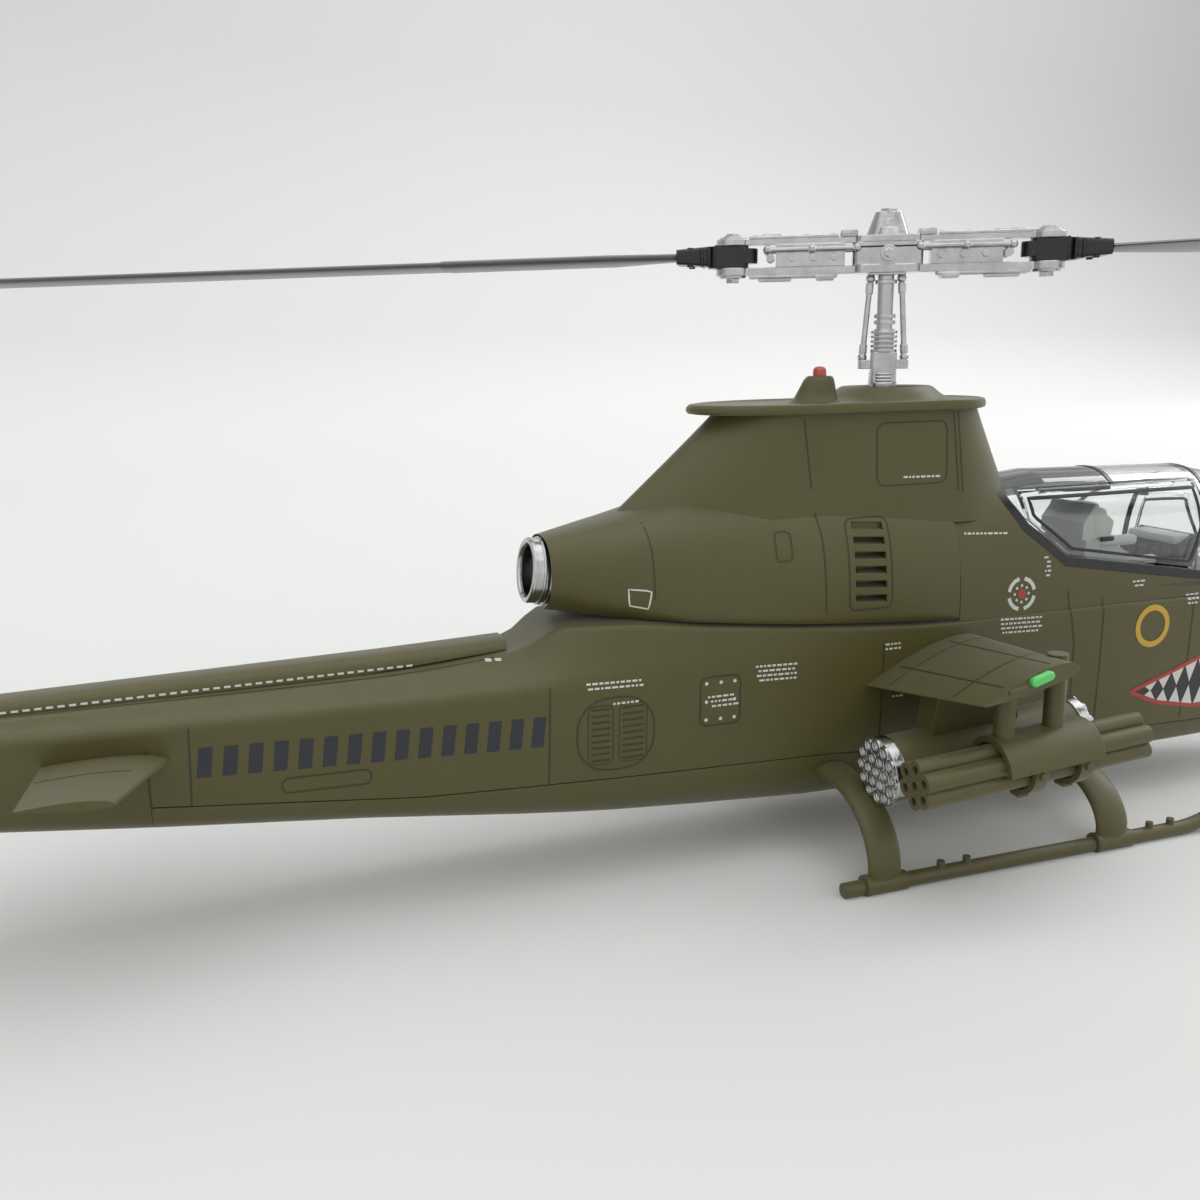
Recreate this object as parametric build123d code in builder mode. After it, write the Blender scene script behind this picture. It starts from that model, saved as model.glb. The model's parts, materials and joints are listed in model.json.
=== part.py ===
from build123d import *
import os
from collections import namedtuple
from math import cos, radians, sin, sqrt

# Two-blade attack helicopter, 1:48 display model. Millimetres.
# +X to the nose, +Y to port, +Z up. Origin on the ground, straight under the mast.

os.makedirs("parts", exist_ok=True)

# ---- driving dimensions -------------------------------------------------------------
scale = 48
foot = 304.8 / scale
inch = 25.4 / scale

rotor_radius = 22 * foot
blade_chord = 27 * inch
blade_droop = 0.6
rotor_angle = 28             # degrees, front blade turned to starboard
hub_height = 79.1            # joint between the two yoke halves
hub_reach = 20.2             # mast axis to blade pin
tail_rotor_radius = 4.25 * foot
tail_rotor_x = -169.7
tail_rotor_z = 60.2
tail_rotor_chord = 8.4 * inch

hull_half_width = 10.0
seam_gap = 0.25              # dark joint between castings
glass_wall = 0.8
skid_half_tread = 22.7
skid_radius = 0.95
wing_half_span = 32.8
turret_x = 65.6
turret_radius = 7.2
gun_pivot_x = 63.4
gun_pivot_z = 7.9
mast_radius = 1.05

Station = namedtuple("Station", "x keel seam seam_w chine chine_w deck deck_w")
hull_stations = [
    Station(-152, 20.0, 22.4, 3.2, 27.4, 3.8, 28.3, 2.2),
    Station(-125, 16.8, 20.3, 5.6, 27.3, 6.3, 28.6, 3.0),
    Station(-96, 13.6, 17.6, 7.2, 27.3, 8.0, 28.8, 3.3),
    Station(-72, 11.2, 15.9, 8.2, 27.3, 8.9, 29.1, 3.6),
    Station(-53, 8.9, 14.2, 9.0, 27.3, 9.6, 30.6, 4.6),
    Station(-47, 8.2, 14.0, 9.2, 27.4, 9.8, 33.6, 6.6),
    Station(-41, 7.6, 13.8, 9.4, 27.7, 9.9, 33.7, 8.6),
    Station(-30, 6.7, 13.7, 9.5, 28.1, hull_half_width, 32.7, 9.5),
    Station(-14, 5.6, 13.5, 9.6, 28.4, hull_half_width, 31.2, 9.9),
    Station(7, 5.4, 12.6, 9.6, 28.6, hull_half_width, 29.9, hull_half_width),
    Station(30, 5.4, 11.1, 9.6, 28.8, hull_half_width, 30.0, 9.9),
    Station(57, 5.8, 10.2, 8.8, 28.4, 9.4, 29.6, 9.2),
    Station(70, 8.4, 12.4, 6.6, 26.6, 7.2, 28.2, 6.8),
    Station(78, 11.6, 14.6, 4.4, 23.6, 5.0, 25.2, 4.4),
    Station(84, 15.6, 16.6, 1.4, 19.4, 1.7, 20.2, 1.3),
]

Arch = namedtuple("Arch", "x half_width sill roof")
arch_stations = [
    Arch(7.5, 9.9, 30.0, 47.4),
    Arch(24, 9.7, 30.0, 48.9),
    Arch(51, 9.3, 30.0, 48.4),
    Arch(57, 9.0, 29.8, 47.2),
    Arch(62, 8.5, 29.4, 44.8),
    Arch(67, 7.6, 28.6, 40.8),
    Arch(72, 6.4, 27.4, 35.2),
    Arch(76, 5.0, 26.2, 29.4),
]

Cowl = namedtuple("Cowl", "x base base_w side side_w top")
cowl_stations = [
    Cowl(6.9, 30.2, 9.7, 31.0, 10.1, 47.2),
    Cowl(-14, 31.5, 9.6, 32.4, 10.2, 48.9),
    Cowl(-30, 33.0, 8.9, 34.4, 9.7, 48.2),
    Cowl(-41, 34.0, 5.6, 38.6, 7.8, 45.7),
    Cowl(-48.6, 34.8, 1.2, 39.3, 4.9, 44.0),
]

# ---- helpers ------------------------------------------------------------------------


def across(x):
    """Plane across the hull: local x to port, local y up."""
    return Plane(origin=(x, 0, 0), x_dir=(0, 1, 0), z_dir=(1, 0, 0))


def hull_section(s):
    with BuildSketch(across(s.x)) as section:
        with BuildLine():
            drop = s.seam - s.keel
            Bezier((0, s.keel), (0.62 * s.seam_w, s.keel), (s.seam_w, s.keel + 0.35 * drop), (s.seam_w, s.seam))
            Line((s.seam_w, s.seam), (s.chine_w, s.chine))
            Line((s.chine_w, s.chine), (s.deck_w, s.deck))
            Line((s.deck_w, s.deck), (0, s.deck))
            mirror(about=Plane.YZ)
        make_face()
    return section.sketch


def arch_section(s, inset=0.0):
    """Closed arch over the cockpit; inset draws the inside of the skin."""
    w = s.half_width - inset
    roof = s.roof - inset
    rise = roof - s.sill
    low = s.sill - 2
    with BuildSketch(across(s.x)) as section:
        with BuildLine():
            Line((0, low), (w, low))
            Line((w, low), (w, s.sill))
            Bezier((w, s.sill), (w, s.sill + 0.72 * rise), (0.62 * w, roof), (0, roof))
            mirror(about=Plane.YZ)
        make_face()
    return section.sketch


def cowl_section(s):
    with BuildSketch(across(s.x)) as section:
        with BuildLine():
            Line((0, s.base), (s.base_w, s.base))
            mid = (s.base_w + 0.7 * (s.side_w - s.base_w), s.base + 0.3 * (s.side - s.base))
            Bezier((s.base_w, s.base), mid, (s.side_w, s.side))
            rise = s.top - s.side
            Bezier((s.side_w, s.side), (s.side_w, s.side + 0.66 * rise), (0.6 * s.side_w, s.top), (0, s.top))
            mirror(about=Plane.YZ)
        make_face()
    return section.sketch


def side_prism(points, near, far, gap=0):
    """Solid drawn in side view (x, z), grown by gap and reaching from y = near to y = far."""
    with BuildPart(mode=Mode.PRIVATE) as prism:
        with BuildSketch(Plane.XZ.offset(-near)):
            with BuildLine():
                Polyline(*points, close=True)
            make_face()
            if gap:
                offset(amount=gap, kind=Kind.INTERSECTION)
        extrude(amount=near - far)
    return prism.part


def foil(plane, lead, trail, up, down):
    """Wing section on a plane: nose and tail points, and how far it bulges each way."""
    chord_x = trail[0] - lead[0]
    chord_y = trail[1] - lead[1]
    length = sqrt(chord_x**2 + chord_y**2)
    nx, ny = chord_y / length, -chord_x / length
    if ny < 0:
        nx, ny = -nx, -ny

    def point(along, out):
        return (lead[0] + along * chord_x + out * nx, lead[1] + along * chord_y + out * ny)

    with BuildSketch(plane) as section:
        with BuildLine():
            Bezier(lead, point(0, 1.2 * up), point(0.45, 1.35 * up), trail)
            Bezier(lead, point(0, -1.2 * down), point(0.45, -1.35 * down), trail)
        make_face()
    return section.sketch


# ---- fuselage forms shared by several castings --------------------------------------
with BuildPart() as fuselage_form:
    loft([hull_section(s) for s in hull_stations], ruled=True)

with BuildPart() as arch_form:
    loft([arch_section(s) for s in arch_stations], ruled=True)

with BuildPart() as arch_hollow:
    loft([arch_section(s, glass_wall) for s in arch_stations], ruled=True)

pan_rear = -96.0
pan_front = 57.2
seam_line = [(pan_rear, 21.3), (pan_rear, 17.6), (-66, 14.9), (-13, 13.5), (30, 11.1), (pan_front, 10.2)]
pan_region = side_prism(seam_line[1:] + [(pan_front, 0), (pan_rear, 0)], 20, -20)
seam_cut = side_prism(
    [(x, z + seam_gap) for x, z in seam_line[1:]] + [(pan_front + 0.1, 0), (pan_rear - seam_gap, 0)], 20, -20
)
turret_bay_top = 12.4
turret_bay = side_prism([(pan_front, 0), (pan_front, turret_bay_top), (90, turret_bay_top), (90, 0)], 20, -20)

canopy_edge = [(14.3, 48.7), (15.9, 44.6), (17.8, 41.4), (24.6, 36.1), (48.6, 32.4), (80, 28.2)]
canopy_region = side_prism([(14.3, 56)] + canopy_edge + [(80, 56)], 20, -20)
band_inner = [(80, 29.5), (48.7, 33.7), (25.1, 37.4), (19.0, 42.3), (17.2, 45.2), (15.7, 49.0), (15.7, 56)]
frame_region = side_prism([(14.3, 56)] + canopy_edge + band_inner, 20, -20)

# ---- stub wings and their stores, each side ------------------------------------------
pod_pitch = 4.2
inboard_y = 20.0
outboard_y = 28.6
large_radius = 4.35
rocket_hole = 0.62


def pod_axis(x, y, z, pitch):
    """Plane at a pod's rear face, normal to its axis and pointing forward."""
    slope = radians(pitch)
    return Plane(origin=(x, y, z), x_dir=(0, 1, 0), z_dir=(cos(slope), 0, sin(slope)))


def bezel_face(plane):
    """End ring of a large pod: one hole in the middle, then six, then twelve."""
    with BuildSketch(plane) as face:
        Circle(large_radius)
        Circle(rocket_hole, mode=Mode.SUBTRACT)
        with PolarLocations(1.72, 6):
            Circle(rocket_hole, mode=Mode.SUBTRACT)
        with PolarLocations(3.4, 12):
            Circle(rocket_hole, mode=Mode.SUBTRACT)
    return face.sketch


let_into_hull = []
wings = []
large_pods = []
skids = []
for side, hand in ((-1, "starboard"), (1, "port")):
    with BuildPart() as nav_light:
        lamp_plane = Plane(
            origin=(1.4, side * (wing_half_span - 0.3), 28.9), x_dir=(0.96, 0, 0.28), z_dir=(0, side, 0)
        )
        with BuildSketch(lamp_plane):
            SlotOverall(3.2, 1.15)
        extrude(amount=1.1)
        fillet(nav_light.faces().sort_by(Axis.Y)[0 if side < 0 else -1].edges(), 0.35)
    nav_light.part.label = f"nav_light_{hand}"
    export_step(nav_light.part, f"parts/nav_light_{hand}.step")

    with BuildPart() as wing:
        root = foil(Plane.XZ.offset(-side * 9.2), (11.0, 26.6), (-7.1, 22.4), 2.6, 0.9)
        tip = foil(Plane.XZ.offset(-side * wing_half_span), (7.0, 29.4), (-6.0, 26.2), 1.7, 0.7)
        loft([root, tip])
        add(nav_light.part, mode=Mode.SUBTRACT)
    wing.part.label = f"wing_{hand}"
    export_step(wing.part, f"parts/wing_{hand}.step")
    let_into_hull.append(wing.part)
    wings.append(wing.part)

    pod_large = pod_axis(-11.3, side * inboard_y, 14.7, pod_pitch)
    with BuildPart() as pod19:
        with BuildSketch(pod_large.offset(1.4)):
            Circle(large_radius - 0.15)
        extrude(amount=26.6)
    pod19.part.label = f"nineteen_tube_pod_{hand}"
    export_step(pod19.part, f"parts/nineteen_tube_pod_{hand}.step")
    large_pods.append(pod19.part)

    with BuildPart() as bezel:
        extrude(bezel_face(pod_large), amount=1.4)
    bezel.part.label = f"pod_rear_bezel_{hand}"
    export_step(bezel.part, f"parts/pod_rear_bezel_{hand}.step")

    pod_small = pod_axis(-12.0, side * outboard_y, 16.1, 3.7)
    with BuildPart() as pod7:
        with BuildSketch(pod_small):
            Circle(1.12)
            with PolarLocations(2.06, 6, start_angle=35):
                Circle(1.12)
        extrude(amount=32.4)
        for end in (pod_small, pod_small.offset(32.4 - 3)):
            with BuildSketch(end):
                Circle(0.52)
                with PolarLocations(2.06, 6, start_angle=35):
                    Circle(0.52)
            extrude(amount=3, mode=Mode.SUBTRACT)
    pod7.part.label = f"seven_tube_pod_{hand}"
    export_step(pod7.part, f"parts/seven_tube_pod_{hand}.step")

    # landing skid tube with its turned-up toe
    with BuildPart() as skid:
        with BuildLine(Plane.XZ.offset(-side * skid_half_tread)) as skid_path:
            Line((-17.4, skid_radius), (35, skid_radius))
            JernArc((35, skid_radius), (1, 0), 17, 40)
        with BuildSketch(Plane(origin=skid_path.line @ 0, z_dir=skid_path.line % 0)):
            Circle(skid_radius)
        sweep()
        for x in (-3.3, 0.6, 30.2, 33.8):
            with Locations((x, side * skid_half_tread, 2 * skid_radius)):
                Cylinder(0.5, 1.4)
        with Locations((15, side * skid_half_tread, -0.9)):
            Box(90, 6, 1.96, mode=Mode.SUBTRACT)
    skid.part.label = f"skid_tube_{hand}"
    export_step(skid.part, f"parts/skid_tube_{hand}.step")
    skids.append(skid.part)

    with BuildPart() as elevator:
        stub = foil(Plane.XZ.offset(-side * 7.0), (-93.3, 23.1), (-106.5, 23.9), 0.9, 0.7)
        end = foil(Plane.XZ.offset(-side * 21.7), (-98.3, 24.1), (-107.3, 24.6), 0.6, 0.5)
        loft([stub, end])
    elevator.part.label = f"elevator_{hand}"
    export_step(elevator.part, f"parts/elevator_{hand}.step")
    let_into_hull.append(elevator.part)

with BuildPart() as front_bezels:
    for side in (-1, 1):
        extrude(bezel_face(pod_axis(-11.3, side * inboard_y, 14.7, pod_pitch).offset(28)), amount=1.4)
front_bezels.part.label = "pod_front_bezels"
export_step(front_bezels.part, "parts/pod_front_bezels.step")

with BuildPart() as pylons:
    for side in (-1, 1):
        body = [(-5.0, 18.6), (-4.2, 24.6), (6.2, 27.0), (8.0, 19.6)]
        add(side_prism(body, side * inboard_y + 1.7, side * inboard_y - 1.7))
    for neighbour in wings + large_pods:
        add(neighbour, mode=Mode.SUBTRACT)
pylons.part.label = "inboard_pylons"
export_step(pylons.part, "parts/inboard_pylons.step")

with BuildPart() as cradles:
    for side in (-1, 1):
        with BuildSketch(pod_axis(-12.0, side * outboard_y, 16.1, 3.7).offset(10.6)):
            Circle(4.0)
            Circle(3.22, mode=Mode.SUBTRACT)
            with Locations((0, -3.4)):
                Rectangle(9, 6.8, mode=Mode.SUBTRACT)
        extrude(amount=13.6)
        for x, foot_z, top in ((0.2, 20.5, 28.6), (7.4, 21.0, 30.2)):
            with BuildSketch(Plane.XY.offset(foot_z)):
                with Locations((x, side * outboard_y)):
                    Circle(1.25)
            extrude(amount=top - foot_z)
    for neighbour in wings:
        add(neighbour, mode=Mode.SUBTRACT)
    for solid in cradles.solids():
        if solid.center().Z > 28:
            add(solid, mode=Mode.SUBTRACT)
cradles.part.label = "outboard_cradles"
export_step(cradles.part, "parts/outboard_cradles.step")

with BuildPart() as straps:
    for side in (-1, 1):
        for along in (14.2, 20.8):
            with BuildSketch(pod_axis(-12.0, side * outboard_y, 16.1, 3.7).offset(along)):
                Circle(3.9)
                Circle(3.22, mode=Mode.SUBTRACT)
                with Locations((0, 3.4)):
                    Rectangle(9, 6.8, mode=Mode.SUBTRACT)
            extrude(amount=1.8)
straps.part.label = "pod_straps"
export_step(straps.part, "parts/pod_straps.step")

# ---- landing gear legs: faired struts from the belly out and down to the skids -------
struts = []
for node, x, width, root_z in (("rear_legs", -11.6, 4.6, 11.5), ("front_legs", 23.7, 5.0, 9.9)):
    with BuildPart() as legs:
        for side in (-1, 1):
            with BuildLine(Plane(origin=(x, 0, 0), x_dir=(0, side, 0), z_dir=(side, 0, 0))) as leg_path:
                Line((8.2, root_z), (13.0, root_z - 0.3))
                bend = [(13.0, root_z - 0.3), (17.6, root_z - 0.6), (22.1, 0.68 * root_z), (skid_half_tread, 3.2)]
                Bezier(*bend)
                Line((skid_half_tread, 3.2), (skid_half_tread, 1.4))
            with BuildSketch(Plane(origin=leg_path.line @ 0, x_dir=(1, 0, 0), z_dir=leg_path.line % 0)):
                Ellipse(width / 2, 0.95)
            sweep()
        for skid_part in skids:
            add(skid_part, mode=Mode.SUBTRACT)
    legs.part.label = node
    export_step(legs.part, f"parts/{node}.step")
    struts.append(legs.part)

# ---- hull, belly pan and the screws that hold them ------------------------------------
# x of each screw, height of its head's underside, foot of the post it threads into
screw_rows = [(-88, 13.2, 17.4), (-34, 7.5, 10.9), (8, 5.7, 9.1), (46, 5.9, 10.4)]
head_depth = 0.9
post_top = 28.4
with BuildPart() as screws:
    for x, head_z, _ in screw_rows:
        with BuildSketch(Plane.XY.offset(head_z)):
            with Locations((x, 0)):
                Circle(1.3)
        extrude(amount=head_depth)
        with BuildSketch(Plane.XY.offset(head_z + head_depth)):
            with Locations((x, 0)):
                Circle(0.7)
        extrude(amount=6)
        with BuildSketch(Plane.XY.offset(head_z)):
            with Locations((x, 0)):
                Rectangle(1.6, 0.34)
                Rectangle(0.34, 1.6)
        extrude(amount=0.5, mode=Mode.SUBTRACT)
screws.part.label = "belly_screws"
export_step(screws.part, "parts/belly_screws.step")

with BuildPart() as hull:
    add(fuselage_form.part)
    add(arch_form.part)
    add(canopy_region, mode=Mode.SUBTRACT)
    add(seam_cut, mode=Mode.SUBTRACT)
    add(turret_bay, mode=Mode.SUBTRACT)
    # cockpit well
    with BuildSketch(Plane.XY.offset(16)):
        with BuildLine():
            Polyline((19.2, 8.1), (56, 7.4), (69, 4.8), (69, -4.8), (56, -7.4), (19.2, -8.1), close=True)
        make_face()
    extrude(amount=40, mode=Mode.SUBTRACT)
    # engine bay and boom are hollow and open to the belly pan
    add(side_prism([(-46, 0), (-46, 26), (-42, 28), (15, 27.5), (15, 0)], 7.9, -7.9), mode=Mode.SUBTRACT)
    add(side_prism([(-92, 0), (-92, 25), (-46, 25.5), (-46, 0)], 5.2, -5.2), mode=Mode.SUBTRACT)
    for x, _, post_foot in screw_rows[:-1]:
        with BuildSketch(Plane.XY.offset(post_foot)):
            with Locations((x, 0)):
                Circle(2.2)
        extrude(amount=post_top - post_foot)
    for fitted in let_into_hull + struts + [screws.part]:
        add(fitted, mode=Mode.SUBTRACT)
hull.part.label = "hull_casting"
export_step(hull.part, "parts/hull_casting.step")

with BuildPart() as pan:
    add(fuselage_form.part)
    add(pan_region, mode=Mode.INTERSECT)
    add(side_prism([(-44, 10.6), (-44, 20), (55, 20), (55, 8.8), (-14, 8.8)], 7.0, -7.0), mode=Mode.SUBTRACT)
    for x, head_z, _ in screw_rows:
        with Locations((x, 0, 10)):
            Cylinder(0.75, 20, mode=Mode.SUBTRACT)
        with Locations((x, 0, head_z + head_depth - 5)):
            Cylinder(1.35, 10, mode=Mode.SUBTRACT)
    for strut in struts:
        add(strut, mode=Mode.SUBTRACT)
pan.part.label = "belly_pan"
export_step(pan.part, "parts/belly_pan.step")

# ---- covers on top of the hull ---------------------------------------------------------
# drive-shaft cover along the top of the boom
with BuildPart() as tunnel:
    ridge = [(-151, 29.4, 1.7, 28.2), (-110, 30.2, 2.8, 28.4), (-69, 31.2, 3.0, 28.9), (-54, 31.7, 3.1, 30.0)]
    for x, top, half, base in ridge:
        with BuildSketch(across(x)):
            with BuildLine():
                Line((0, base), (half, base))
                Bezier((half, base), (half, top), (0.5 * half, top), (0, top))
                mirror(about=Plane.YZ)
            make_face()
    loft(ruled=True)
    add(hull.part, mode=Mode.SUBTRACT)
tunnel.part.label = "drive_shaft_cover"
export_step(tunnel.part, "parts/drive_shaft_cover.step")

# engine cowling and rotor pylon fairing, one casting
pylon_top = 58.2
exhaust_tilt = 6
exhaust_axis = Plane(
    origin=(-48.6, 0, 39.5),
    x_dir=(0, 1, 0),
    z_dir=(-cos(radians(exhaust_tilt)), 0, sin(radians(exhaust_tilt))),
)


def pylon_outline(z, rear, shoulder, half, corner, front):
    """Plan of the rotor pylon fairing at height z: pointed rear, bowed front."""
    with BuildSketch(Plane.XY.offset(z)) as outline:
        with BuildLine():
            Bezier((rear, 0), (rear, 0.45 * half), (shoulder - 4, half), (shoulder, half))
            Line((shoulder, half), (corner, half))
            Bezier((corner, half), (corner + 3.5, half), (front, 0.55 * half), (front, 0))
            mirror(about=Plane.XZ)
        make_face()
    return outline.sketch


with BuildPart() as cowling:
    loft([cowl_section(s) for s in cowl_stations], ruled=True)
    pylon_foot = pylon_outline(43.5, -42, -20, 8.2, 8.8, 21.6)
    loft([pylon_foot, pylon_outline(pylon_top, -24.6, -16, 6.9, 6.4, 14.0)])
    add(arch_form.part, mode=Mode.SUBTRACT)
    with BuildSketch(exhaust_axis.offset(-7)):
        Circle(4.25)
    extrude(amount=9, mode=Mode.SUBTRACT)
    add(side_prism([(-36, 20), (-36, 40), (-20, 44), (3, 42), (3, 20)], 7.6, -7.6), mode=Mode.SUBTRACT)
    with BuildSketch(Plane.XY.offset(40)):
        Circle(2.6)
    extrude(amount=20, mode=Mode.SUBTRACT)
    # intake louvres on both sides
    for side in (-1, 1):
        for i in range(6):
            with Locations((-6.8, side * 10.3, 44.3 - 1.95 * i)):
                Box(4.6, 2.4, 0.95, mode=Mode.SUBTRACT)
cowling.part.label = "engine_cowling"
export_step(cowling.part, "parts/engine_cowling.step")

with BuildPart() as cap:
    with BuildSketch(Plane.XY.offset(pylon_top)):
        with BuildLine():
            Bezier((-28.4, 0), (-28.4, 4.4), (-22, 7.9), (-15, 8.2))
            Line((-15, 8.2), (6.6, 8.2))
            Bezier((6.6, 8.2), (11, 8.2), (14.9, 4.6), (14.9, 0))
            mirror(about=Plane.XZ)
        make_face()
    extrude(amount=1.3)
    # raised collar round the mast
    with BuildSketch(Plane.XY.offset(pylon_top + 1.3)):
        with Locations((0.6, 0)):
            Ellipse(7.6, 6.4)
    with BuildSketch(Plane.XY.offset(pylon_top + 2.9)):
        with Locations((0.6, 0)):
            Ellipse(6.0, 5.0)
    loft()
    with BuildSketch(Plane.XY.offset(pylon_top + 1.6)):
        with Locations((0.6, 0)):
            Ellipse(5.2, 4.2)
    extrude(amount=4, mode=Mode.SUBTRACT)
    with BuildSketch(Plane.XY.offset(pylon_top - 1)):
        Circle(2.6)
    extrude(amount=6, mode=Mode.SUBTRACT)
    # beacon housing
    with BuildSketch(Plane.XY.offset(pylon_top + 1.3)):
        with Locations((-10.1, 0)):
            Ellipse(3.1, 2.3)
    with BuildSketch(Plane.XY.offset(pylon_top + 4.4)):
        with Locations((-9.6, 0)):
            Ellipse(1.9, 1.4)
    loft()
cap.part.label = "pylon_cap"
export_step(cap.part, "parts/pylon_cap.step")

lens_top = pylon_top + 5.7
with BuildPart() as beacon:
    with BuildSketch(Plane.XZ):
        with BuildLine():
            Line((-9.6, pylon_top + 4.4), (-8.7, pylon_top + 4.4))
            Line((-8.7, pylon_top + 4.4), (-8.7, pylon_top + 4.8))
            Bezier((-8.7, pylon_top + 4.8), (-8.7, lens_top), (-9.2, lens_top), (-9.6, lens_top))
            Line((-9.6, lens_top), (-9.6, pylon_top + 4.4))
        make_face()
    revolve(axis=Axis((-9.6, 0, 0), (0, 0, 1)))
beacon.part.label = "beacon_lens"
export_step(beacon.part, "parts/beacon_lens.step")

with BuildPart() as bush:
    with BuildSketch(Plane.XY.offset(50.6)):
        Circle(2.6)
        Circle(mast_radius + 0.05, mode=Mode.SUBTRACT)
    extrude(amount=7.4)
bush.part.label = "mast_bush"
export_step(bush.part, "parts/mast_bush.step")

with BuildPart() as exhaust_ring:
    with BuildSketch(exhaust_axis.offset(-4)):
        Circle(4.1)
        Circle(3.3, mode=Mode.SUBTRACT)
    extrude(amount=5.6)
exhaust_ring.part.label = "exhaust_ring"
export_step(exhaust_ring.part, "parts/exhaust_ring.step")

with BuildPart() as exhaust_core:
    with BuildSketch(exhaust_axis.offset(-7)):
        Circle(4.1)
    extrude(amount=3)
    with BuildSketch(exhaust_axis.offset(-4)):
        Circle(2.0)
    extrude(amount=3.4)
    fillet(exhaust_core.edges().filter_by(GeomType.CIRCLE).sort_by(Axis.X)[0], 0.8)
exhaust_core.part.label = "exhaust_core"
export_step(exhaust_core.part, "parts/exhaust_core.step")

# ---- canopy --------------------------------------------------------------------------
door_gap = 0.3
pilot_top = 46.3
gunner_top = 42.6
pilot_outline = [(19.3, pilot_top), (19.3, 43.0), (25.5, 37.7), (47.6, 34.3), (50.4, 40), (50.4, pilot_top)]
gunner_outline = [(53.4, 33.5), (68.6, 31.4), (66.4, 35.2), (61.6, gunner_top), (53.4, gunner_top)]
pilot_region = side_prism(pilot_outline, 0, -20)
gunner_region = side_prism(gunner_outline, 20, 0)


def hinge_barrel(start, finish, radius):
    """Round bar along a door's hinge line."""
    with BuildPart() as barrel:
        along = Vector(*finish) - Vector(*start)
        with BuildSketch(Plane(origin=start, z_dir=along.normalized())):
            Circle(radius)
        extrude(amount=along.length)
    return barrel.part


# ends of each door's hinge line, on the shell just under the roof
pilot_hinge = ((22.0, -5.75, pilot_top), (46.0, -5.75, pilot_top))
gunner_hinge = ((54.4, 6.95, gunner_top), (60.4, 5.75, gunner_top))
barrel_radius = 0.42
barrel_clearance = 0.2

with BuildPart() as canopy_frame:
    add(arch_form.part)
    add(arch_hollow.part, mode=Mode.SUBTRACT)
    add(frame_region, mode=Mode.INTERSECT)
canopy_frame.part.label = "canopy_frame"
export_step(canopy_frame.part, "parts/canopy_frame.step")

with BuildPart() as canopy_glass:
    add(arch_form.part)
    add(arch_hollow.part, mode=Mode.SUBTRACT)
    add(canopy_region, mode=Mode.INTERSECT)
    add(frame_region, mode=Mode.SUBTRACT)
    add(side_prism(pilot_outline, 0, -20, door_gap), mode=Mode.SUBTRACT)
    add(side_prism(gunner_outline, 20, 0, door_gap), mode=Mode.SUBTRACT)
    for ends in (pilot_hinge, gunner_hinge):
        add(hinge_barrel(*ends, barrel_radius + barrel_clearance), mode=Mode.SUBTRACT)
canopy_glass.part.label = "canopy_glass"
export_step(canopy_glass.part, "parts/canopy_glass.step")

with BuildPart() as pilot_door:
    add(arch_form.part)
    add(arch_hollow.part, mode=Mode.SUBTRACT)
    add(pilot_region, mode=Mode.INTERSECT)
    add(hinge_barrel(*pilot_hinge, barrel_radius))
pilot_door.part.label = "pilot_door"
export_step(pilot_door.part, "parts/pilot_door.step")

with BuildPart() as gunner_door:
    add(arch_form.part)
    add(arch_hollow.part, mode=Mode.SUBTRACT)
    add(gunner_region, mode=Mode.INTERSECT)
    add(hinge_barrel(*gunner_hinge, barrel_radius))
gunner_door.part.label = "gunner_door"
export_step(gunner_door.part, "parts/gunner_door.step")

# ---- cockpit -------------------------------------------------------------------------
with BuildPart() as tub:
    with BuildSketch(Plane.XY.offset(16.3)):
        with BuildLine():
            Polyline((19.6, 0), (19.6, 7.7), (55.8, 7.0), (68.4, 4.5), (68.4, 0))
            mirror(about=Plane.XZ)
        make_face()
    extrude(amount=15.4)
    add(side_prism([(30, 24), (30, 34), (50.6, 34), (50.6, 24)], 5.6, -5.6), mode=Mode.SUBTRACT)
    add(side_prism([(52.6, 18.6), (52.6, 34), (66.5, 34), (66.5, 18.6)], 4.0, -4.0), mode=Mode.SUBTRACT)
tub.part.label = "cockpit_tub"
export_step(tub.part, "parts/cockpit_tub.step")

with BuildPart() as pilot_seat:
    add(side_prism([(32, 24), (32, 29.4), (44, 28.4), (44, 24)], 4.6, -4.6))
    add(side_prism([(31.4, 29), (35.2, 29), (37.0, 41), (33.6, 43.6), (31.6, 41)], 4.4, -4.4))
    for side in (-1, 1):
        near, far = (side * 4.6 + 0.5, side * 4.6 - 0.5)
        add(side_prism([(31.6, 24), (31.6, 38.6), (36, 38.4), (44, 33.4), (44, 24)], near, far))
pilot_seat.part.label = "pilot_seat"
export_step(pilot_seat.part, "parts/pilot_seat.step")

with BuildPart() as gunner_seat:
    add(side_prism([(54, 18.6), (54, 23.6), (62, 22.8), (62, 18.6)], 3.6, -3.6))
    add(side_prism([(53.4, 23), (56, 23), (56.6, 33), (54.6, 34.6), (53.6, 33)], 3.4, -3.4))
gunner_seat.part.label = "gunner_seat"
export_step(gunner_seat.part, "parts/gunner_seat.step")

with BuildPart() as panel:
    add(side_prism([(48.8, 31.7), (48.6, 36.4), (51.8, 38.2), (52.6, 31.7)], 5.4, -5.4))
panel.part.label = "instrument_panel"
export_step(panel.part, "parts/instrument_panel.step")

with BuildPart() as sight:
    with BuildSketch(Plane.XY.offset(31.7)):
        with Locations((67.4, 0)):
            RectangleRounded(1.6, 3.2, 0.4)
    extrude(amount=3.4)
sight.part.label = "gunsight"
export_step(sight.part, "parts/gunsight.step")

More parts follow.
